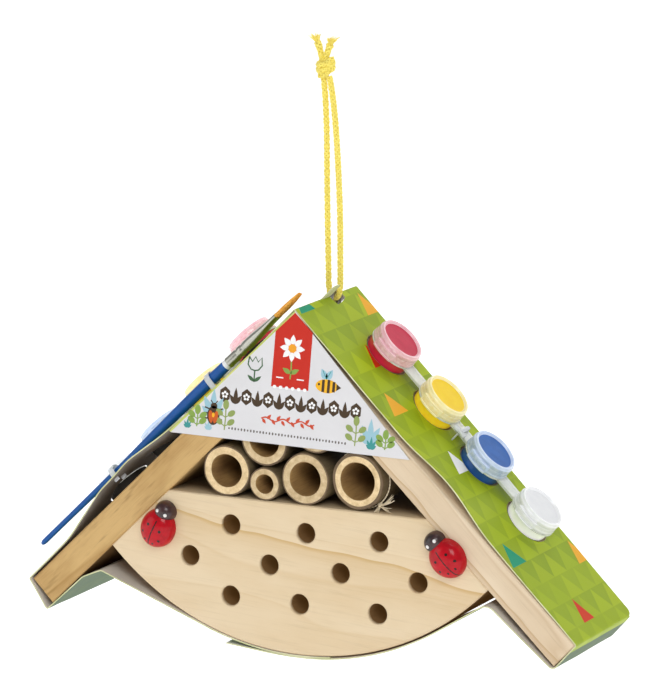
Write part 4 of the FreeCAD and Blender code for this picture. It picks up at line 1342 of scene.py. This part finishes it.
def beetle(art):
    """Brown beetle with rusty wing cases, seen from above."""
    x, z = -0.0326, -0.0462
    for k in (-1, 0, 1):
        foot = z + 0.0023 * k + 0.0004
        art.stroke([(x - 0.0041, foot), (x, z + 0.0016 * k), (x + 0.0041, foot)], 0.0006, "brown", 2)
    art.oval(x, z - 0.0004, 0.0028, 0.0040, "brown", 3)
    for side in (1, -1):
        art.oval(x + 0.0011 * side, z - 0.0010, 0.0010, 0.0026, "rust", 4, -0.15 * side)
        art.stroke([(x + 0.0004 * side, z + 0.0044), (x + 0.0016 * side, z + 0.0058)], 0.0004, "brown", 2)
    art.oval(x, z + 0.0036, 0.0015, 0.0012, "brown", 3)
    art.oval(x, z - 0.0002, 0.0006, 0.0010, "amber", 5)


def sprig(art, x, z, height, colour, spread=0.0034):
    """Stem with an upright leaf at its top and pairs of round leaves below."""
    art.stroke([(x, z), (x + 0.0002, z + height * 0.5), (x, z + height * 0.9)], 0.0005, colour, 3)
    art.oval(x, z + height, 0.0013, 0.0020, colour, 3.3)
    for level in (z + height * 0.25, z + height * 0.60):
        for side in (-1, 1):
            art.oval(x + side * spread, level + 0.0008, 0.0018, 0.0012, colour, 3.6, side * 0.6)
            art.stroke([(x, level - 0.0010), (x + side * spread * 0.7, level)], 0.0004, colour,
                       3.8 + side * 0.1)


def fern(art, x, z, height, colour, level=0):
    """Pointed leaves that fan out from one foot."""
    for aim, reach, layer in ((-0.95, 0.55, 1.2), (-0.5, 0.8, 1.4), (0.0, 1.0, 1.0), (0.5, 0.8, 1.6),
                              (0.95, 0.55, 1.8)):
        art.leaf(x, z, height * reach, height * 0.26, aim, colour, layer + level)


def plants(art):
    """Leafy corners of the label."""
    fern(art, -0.0330, -0.0470, 0.0115, "sky")
    sprig(art, -0.0398, -0.0520, 0.0070, "leaf_green", 0.0026)
    sprig(art, -0.0272, -0.0520, 0.0105, "olive_leaf", 0.0027)
    fern(art, -0.0440, -0.0530, 0.0040, "teal", 1)
    fern(art, -0.0345, -0.0528, 0.0040, "sky", 1)
    fern(art, 0.0378, -0.0500, 0.0105, "sky")
    fern(art, 0.0385, -0.0520, 0.0052, "teal", 1)
    sprig(art, 0.0313, -0.0515, 0.0102, "olive_leaf", 0.0029)
    sprig(art, 0.0446, -0.0515, 0.0062, "leaf_green", 0.0026)


def ornament_row(art):
    """Bold frieze of honeycomb cells and leaves, a red vine below it and a line of small seeds."""
    z, reach, pitch = -0.0374, 0.0034, 0.00489
    for k in range(13):
        x = -0.0281 + pitch * k
        if k % 2 == 0:
            art.ink([(x + 0.76 * reach * math.sin(a), z + reach * math.cos(a)) for a in angles(6)], "brown")
            for aim in angles(5):
                art.oval(x + 0.0010 * math.sin(aim), z + 0.0010 * math.cos(aim), 0.00055, 0.00055, "white",
                         2, steps=12)
        else:
            for aim, length, layer in ((-0.62, 1.35, 1.0), (0.62, 1.35, 1.2), (0.0, 2.0, 1.4)):
                art.leaf(x, z - reach, reach * length, 0.0019, aim, "brown", layer)
    wave = [(-0.0110 + 0.0238 * i / 90, -0.0452 + 0.0007 * math.sin(math.pi * i / 15)) for i in range(91)]
    art.stroke(wave, 0.0006, "script_red")
    for k in range(11):
        aim = 0.7 if k % 2 else math.pi - 0.7
        art.leaf(-0.0105 + 0.00215 * k, -0.0452, 0.0026, 0.0013, aim, "script_red", 1.5 + 0.1 * k)
    for k in range(38):
        art.oval(-0.0251 + 0.00141 * k, -0.0510, 0.00038, 0.00045 + 0.00017 * (k % 3 > 0), "grey", steps=8)


def small_flower(art):
    """Outlined tulip in dark green, left of the badge."""
    x, z = -0.0156, -0.0240
    cup = [(-0.0028, 0.0034), (-0.0032, 0.0002), (-0.0017, -0.0017), (0, -0.0021), (0.0017, -0.0017),
           (0.0032, 0.0002), (0.0028, 0.0034), (0.0013, 0.0015), (0, 0.0036), (-0.0013, 0.0015),
           (-0.0028, 0.0034)]
    art.stroke([(x + across, z + up) for across, up in cup], 0.0006, "dark_leaf")
    art.stroke([(x, z - 0.0021), (x, z - 0.0068)], 0.0006, "dark_leaf")
    for aim in (0.9, -0.9):
        art.leaf(x, z - 0.0066, 0.0040, 0.0015, aim, "dark_leaf")


def ink_look(name):
    """Printed ink: solid colour with the faint mottle of screen printing."""
    ink = Shader("ink_" + name, 0.5)
    ink.set("Specular IOR Level", 0.2)
    mottle = ink.noise(ink.place(), 2400, 2.0)
    colour = INKS[name]
    brighter = tuple(min(1, c * 1.25 + 0.01) for c in colour)
    ink.set("Base Color", ink.mix(ink.times(mottle, 0.3), colour, brighter))
    ink.bump(mottle, 0.00002, 0.2)
    return ink.material


def gable_label():
    """White triangular flap over the gable, folded down from the left panel."""
    back = -SLEEVE_DEPTH / 2
    face = back - CARD
    left, right, tip = (Vector(corner) for corner in LABEL_CORNERS)
    shape = Shape()
    fold = (tip - left).normalized()
    strip = Vector((fold.y, -fold.x)) * 0.0009
    seam_low = left + strip
    seam_high = tip + strip * 0.6
    plates = [([left, seam_low, seam_high, tip], 0), ([seam_low, right, tip, seam_high], 1)]
    for corners, slot in plates:
        count = len(corners)
        points = [Vector((c.x, y, c.y)) for y in (face, back) for c in corners]
        faces = [list(range(count)), list(range(count, 2 * count))[::-1]]
        faces += [[i, (i + 1) % count, (i + 1) % count + count, i + count] for i in range(count)]
        shape.add(points, faces, [slot, 3] + [2] * count, None, [(0.02 + p.x, p.z) for p in points])
    green = plain_paper("label_fold", (0.42, 0.50, 0.06), (0.58, 0.60, 0.18), 0.5)
    white = plain_paper("label_white", (0.69, 0.685, 0.70), (0.65, 0.645, 0.66), 0.5)
    edge = plain_paper("label_edge", (0.80, 0.79, 0.74), (0.66, 0.64, 0.56))
    inside = plain_paper("label_back", (0.62, 0.61, 0.59), (0.50, 0.49, 0.47))
    flap = make("gable_label", shape, [green, white, edge, inside], "house", (), 30)
    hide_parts("card_sleeve")
    art = Artwork(face)
    badge(art)
    small_flower(art)
    bee(art)
    beetle(art)
    plants(art)
    ornament_row(art)
    inks = [ink_look(name) for name in art.inks]
    make("gable_label_print", art.shape, inks, "house", (), 30)


# ---- paint pots

def pot_along(side, index):
    """Distance of a pot from the ridge, negative on the left; halves fall on the link bars."""
    return SIDES[side] * (POT_FIRST[side] + index * POT_PITCH)


def pot_place(side, index):
    """Frame of one pot: on its own axis, with its foot at zero."""
    return roof_frame(side) @ Matrix.Translation((pot_along(side, index), POT_Y[side], POT_LIFT[side]))


def link_bar(shape, side, index):
    """Flat bar between two pots with a low rib along each edge."""
    first, last = sorted(pot_along(side, i) for i in (index, index + 1))
    overlap = POT_RADIUS - 0.0006
    top = POT_LIFT[side] + SHOULDER
    half, rib, soft = BAR_WIDTH / 2, 0.0007, 0.0002
    section = [(-half, top - BAR_THICK), (half, top - BAR_THICK), (half, top - soft), (half - soft, top),
               (half - rib, top), (half - rib - soft, top - 0.0003), (-half + rib + soft, top - 0.0003),
               (-half + rib, top), (-half + soft, top), (-half, top - soft)]
    points, faces = slab(section, first + overlap, last - overlap)
    shape.add([Vector((p.z, POT_Y[side] + p.x, p.y)) for p in points], faces, 4, roof_frame(side))


def hinge_outline(near, far):
    """Hinge leaf between two distances from the pot's axis."""
    return [(-HINGE_HALF, near), (HINGE_HALF, near), (HINGE_HALF, far), (-HINGE_HALF, far)]


def pot_strip(side, looks):
    """Four cups with flanges, link bars and the fixed half of each hinge."""
    shape = Shape()
    neck = POT_RADIUS - 0.0003
    bore = neck - POT_WALL
    low = SHOULDER - FLANGE_THICK
    hidden = HIDDEN_FOOT[side]
    reach = POT_FOOT + (POT_RADIUS - POT_FOOT) * hidden / low
    # Slot 5 is the foot below the card, which takes a painted-shade look
    profile = rounded([(0, 0, 5), (POT_FOOT, 0, 5), (reach, hidden, 0), (POT_RADIUS, low, 4),
                       (FLANGE_RADIUS, low, 4), (FLANGE_RADIUS, SHOULDER, 4), (neck, SHOULDER, 4),
                       (neck, POT_RIM, 4), (bore, POT_RIM, 4), (bore, POT_FLOOR, 0), (0, POT_FLOOR, 0)],
                      0.0004)
    hinge = hinge_outline(FLANGE_RADIUS - 0.0010, 0.01095)
    for index in range(len(PAINTS)):
        place = pot_place(side, index)
        shape.join(turned([(r, z, s or index) for r, z, s in profile], 64), place)
        shape.add(*slab(hinge, SHOULDER - 0.0005, SHOULDER), 4, place)
    for index in range(len(PAINTS) - 1):
        link_bar(shape, side, index)
    node = "pot_strip_" + side
    make(node + "_moulded", shape, looks, "house", [node], 40)


def paint_fill(side, index, look):
    """Paint up to just under the pot's rim, a little higher where it clings to the wall."""
    radius, low, high = POT_RADIUS - 0.0012, POT_FLOOR + 0.0001, PAINT_LEVEL
    profile = [(0, low), (radius - 0.0003, low), (radius, low + 0.0004), (radius, high),
               (radius - 0.0004, high - 0.0005), (radius - 0.0014, high - 0.0008), (0, high - 0.0009)]
    shape = Shape()
    shape.join(turned([(r, z, 0) for r, z in profile], 48), pot_place(side, index))
    node = "paint_%s_%d" % (side, index + 1)
    make(node + "_wet", shape, [look], "house", [node], 40)


def skirt_look(name, side, glow):
    """Milky skirt with the paint showing through it in upright streaks."""
    pale, deep = SKIRTS[name]
    skirt = Shader("lid_skirt_%s_%s" % (name, side), 0.22)
    streak = skirt.noise(skirt.place(), 620, 2.0)
    moulded(skirt, skirt.mix(skirt.rise(streak, 0.35, 0.70), pale, deep), glow, 0.2, 0.003, 0.4, 0.05)
    skirt.bump(streak, 0.0002, 0.5)
    return skirt.material


def lid(side, index, disc, milk, skirt):
    """Snap lid: ringed skirt, raised ring, sunken disc, stepped thumb tab and hinge leaf."""
    low = SHOULDER + 0.00015
    top, plate = LID_TOP, LID_PLATE
    profile = rounded([(0, plate - 0.0009, 0), (0.0084, plate - 0.0009, 1), (0.01015, plate - 0.0009, 2),
                       (0.01015, low, 2), (LID_RADIUS, low, 1), (LID_RADIUS, low + 0.0009, 2),
                       (0.01030, low + 0.0012, 2), (0.01030, low + 0.0026, 2), (0.01008, low + 0.0028, 1),
                       (0.01030, low + 0.0030, 2), (0.01030, low + 0.0043, 1), (0.00990, low + 0.0048, 1),
                       (0.00990, top - 0.0004, 1), (0.00968, top, 1), (0.00905, top, 1),
                       (0.00868, plate + 0.0002, 1), (0.00845, plate, 0), (0.0030, plate + 0.0001, 0),
                       (0, plate + 0.00012, 0)], 0.0003)
    place = pot_place(side, index)
    shape = Shape()
    shape.join(turned(profile, 72), place)
    for outer, start, end, reach, look in THUMB_TAB:
        arc = [-math.pi / 2 + reach * LID_TAB_ANGLE * (i / 8 - 1) for i in range(17)]
        outline = [(outer * math.cos(a), outer * math.sin(a)) for a in arc]
        outline += [(0.0100 * math.cos(a), 0.0100 * math.sin(a)) for a in reversed(arc)]
        shape.add(*slab(outline, low + start, low + end), look, place)
    shape.add(*slab(hinge_outline(LID_RADIUS - 0.0003, 0.0113), low, low + 0.0005), 1, place)
    node = "pot_lid_%s_%d" % (side, index + 1)
    piece = make(node + "_moulded", shape, [disc, milk, skirt], "lid_%s_%d" % (side, index + 1), [node],
                 40)
    soften(piece, 0.00018)


def soften(piece, width):
    """Small round bevel on the sharp edges of a moulded piece."""
    bevel = piece.modifiers.new("soft_edges", "BEVEL")
    bevel.width = width
    bevel.segments = 2
    bevel.limit_method = "ANGLE"
    bevel.angle_limit = math.radians(40)


def strip_tie(side, look):
    """Clear tag tie: a strap over the middle link bar with a short cross bar at its front end."""
    near = roof_frame(side) @ Matrix.Translation((pot_along(side, 1.5), POT_Y[side], 0))
    half = BAR_WIDTH / 2
    top = POT_LIFT[side] + SHOULDER
    strap = [(half + 0.0006, -0.0004), (half + 0.0006, top - 0.0006), (half - 0.0002, top + 0.0006),
             (0, top + 0.0009), (0.0004 - half, top + 0.0012), (-half - 0.0016, top + 0.0013)]
    y, z = strap[-1]
    bar = [(-0.0030, y, z), (-0.0012, y + 0.0001, z), (0.0012, y + 0.0001, z), (0.0030, y, z)]
    foot = [(0, y + 0.0004, z), (0, y + 0.0005, z - 0.0030), (0, y + 0.0009, 0)]
    shape = Shape()
    for line, step, radius, sides in (([(0, y, z) for y, z in strap], 0.0006, 0.0010, 10),
                                      (bar, 0.0004, 0.0011, 10), (foot, 0.0006, 0.0004, 8)):
        shape.add(*tube(evenly([Vector(point) for point in line], step), radius, sides), matrix=near)
    node = "strip_tie_" + side
    make(node + "_clear", shape, [look], "house", [node], 50)


def paint_pots():
    """Both strips with their paint, lids and ties; hands back the ties' clear nylon."""
    paints = [plastic("paint_" + name, *PAINT_COLOURS[name], 0.3, 0.0, 0.3) for name in PAINTS]
    cups = [plastic("cup_" + name, *CUPS[name], 0.3, 0.15, 0.3, 0.5, CUP_GLOW[name]) for name in PAINTS]
    discs = [plastic("lid_disc_" + name, *LID_DISCS[name], 0.3, 0.0, 0.0, 0.2) for name in PAINTS]
    milks = {}
    skirts = {}
    # Painted light: the lids glow, the left ones far more, to lift their shaded side to a milky white
    for side, glow in (("right", 0.06), ("left", 0.30)):
        milks[side] = [plastic("lid_milk_%s_%s" % (name, side), *LID_TINTS[name], 0.25, 0.35, 0.3, 0.5, glow)
                       for name in PAINTS]
        skirts[side] = [skirt_look(name, side, glow) for name in PAINTS]
    bar = plastic("bar_plastic", (0.74, 0.76, 0.72), (0.62, 0.65, 0.60), 0.3, 0.3, 0.2)
    # The cup feet are painted shade: olive grey on the right like shaded card, near black on the left inside
    # the bow
    painted_shade_feet = {"right": plastic("cup_foot_right", (0.34, 0.35, 0.24), (0.24, 0.25, 0.16), 0.4),
            "left": plastic("cup_foot_left", (0.060, 0.055, 0.050), (0.040, 0.036, 0.032), 0.6, shine=0.1)}
    nylon = clear_plastic("tie_nylon")
    for side in SIDES:
        pot_strip(side, cups + [bar, painted_shade_feet[side]])
        strip_tie(side, nylon)
        for index in range(len(PAINTS)):
            paint_fill(side, index, paints[index])
            lid(side, index, discs[index], milks[side][index], skirts[side][index])
    return nylon


# ---- paintbrush

def brush_frame():
    """Brush axis along local X, pointing up the left slope, its bristle tip at X = 0."""
    lift = BRUSH_RISE + BRUSH_TIP * math.tan(BRUSH_TILT)
    tip = roof_frame("left") @ Matrix.Translation((-BRUSH_TIP, BRUSH_Y, lift))
    return tip @ Matrix.Rotation(BRUSH_TILT, 4, "Y")


def along_brush(shape, profile):
    """Adds a shape turned about the brush's axis from (distance behind the tip, radius, slot)."""
    body = turned([(radius, distance, slot) for distance, radius, slot in profile], 36)
    shape.join(body, brush_frame() @ Matrix.Rotation(-math.pi / 2, 4, "Y"))


def handle():
    """Blue plastic handle with a white ring where the ferrule ends."""
    blue = plastic("brush_blue", (0.010, 0.100, 0.38), (0.008, 0.082, 0.32), 0.35, 0.0, 0.12, 0.2)
    white = plastic("brush_ring", (0.85, 0.86, 0.88), (0.75, 0.76, 0.78), 0.3)
    start = BRISTLES + FERRULE
    end = start + HANDLE
    shape = Shape()
    along_brush(shape, rounded([
        (start - 0.008, 0, 0), (start - 0.008, 0.0018, 0), (start, 0.0018, 1), (start, 0.0021, 1),
        (start + 0.0016, 0.0022, 0), (start + 0.010, 0.0024, 0), (start + 0.026, 0.0024, 0),
        (start + 0.046, 0.0020, 0), (start + 0.070, 0.0014, 0), (end - 0.020, 0.00115, 0),
        (end - 0.002, 0.00115, 0), (end - 0.0006, 0.0008, 0), (end, 0, 0)], 0.002))
    make("brush_handle_gloss", shape, [blue, white], "brush", ["brush_handle"], 60)


def ferrule():
    """Tin sleeve, pressed flat where it grips the bristles, with two grooves near the handle."""
    neck, groove = 0.0023, 0.00205
    rings = [(0.003, 0.0030, 0.0010), (0.0, 0.0031, 0.00105), (0.0, 0.0034, 0.0013), (0.004, 0.0033, 0.0014),
             (0.009, 0.0029, 0.0018), (0.014, 0.0024, 0.0022), (0.018, neck, neck)]
    for start in (0.0205, 0.0240):
        rings += [(start + step, radius, radius) for step, radius in
                  ((0.0, neck), (0.0005, groove), (0.0012, groove), (0.0017, neck))]
    rings += [(0.0300, neck, neck), (0.0304, 0.0024, 0.0024), (FERRULE, 0.0024, 0.0024)]
    rounds = 40
    last = (len(rings) - 1) * rounds
    points = [Vector((-(BRISTLES + distance), wide * math.cos(a), thick * math.sin(a)))
              for distance, wide, thick in rings for a in angles(rounds)]
    faces = band_faces(len(rings), rounds) + [[end + k for k in range(rounds)] for end in (0, last)]
    shape = Shape()
    shape.add(points, faces, 0, brush_frame())
    tin = metal("ferrule_tin", (0.50, 0.50, 0.44), 0.30)
    make("brush_ferrule_tin", shape, [tin], "brush", ["brush_ferrule"], 40)


def bristles():
    """Separate hairs that spread a little and end along a slant."""
    random.seed(7)
    shape = Shape()
    for _ in range(BRISTLE_COUNT):
        angle, reach = random.uniform(0, 2 * math.pi), math.sqrt(random.random())
        y = BRISTLE_HALF_WIDTH * reach * math.cos(angle)
        z = BRISTLE_HALF_THICK * reach * math.sin(angle)
        tip_y = y * random.uniform(1.02, 1.16)
        tip_x = -0.0016 - math.tan(BRISTLE_SLANT) * tip_y + random.uniform(-0.0010, 0.0002)
        tip_x = min(tip_x, 0.0)
        hair = [Vector((-(BRISTLES + 0.002), y, z)), Vector((-BRISTLES * 0.66, y * 1.06, z * 1.15)),
                Vector((-BRISTLES * 0.33 + tip_x * 0.3, (y + tip_y) / 2 * 1.03, z * 0.9)),
                Vector((tip_x, tip_y, z * 0.45 + random.uniform(-0.0001, 0.0001)))]
        shape.add(*tube(hair, [0.00016, 0.00016, 0.00014, 0.00005], 4), matrix=brush_frame())
    look = thread("bristle_gold", (0.95, 0.50, 0.070), (0.66, 0.28, 0.030), 1200.0, 0.0)
    make("brush_bristle_tuft", shape, [look], "brush", ["brush_bristles"], 60)


def brush_tie(node, slope_distance, look):
    """Clear band over the handle, its ends going through the card."""
    lift = BRUSH_RISE + slope_distance * math.tan(BRUSH_TILT)
    depth = lift + 0.001 if slope_distance < 0.080 else 0.0036

    def arch(radius):
        """Half a ring on two straight legs, as (y, z)."""
        bow = [(-radius * math.cos(a), radius * math.sin(a)) for a in [math.pi * i / 16 for i in range(17)]]
        return [(-radius, -depth)] + bow + [(radius, -depth)]

    outline = arch(TIE_RADIUS) + arch(TIE_RADIUS + TIE_THICK)[::-1]
    points, faces = slab(outline, -TIE_WIDTH / 2, TIE_WIDTH / 2)
    behind = slope_distance - BRUSH_TIP
    shape = Shape()
    shape.add([Vector((p.z - behind, p.x, p.y)) for p in points], faces, 0, brush_frame())
    make(node + "_clear", shape, [look], "house", [node], 50)


camera()
hanging_cord()
studio()
wooden_house()
bamboo()
twine()
ladybirds()
card_sleeve()
gable_label()
nylon = paint_pots()
handle()
ferrule()
bristles()
for node, place in TIES.items():
    brush_tie(node, place, nylon)
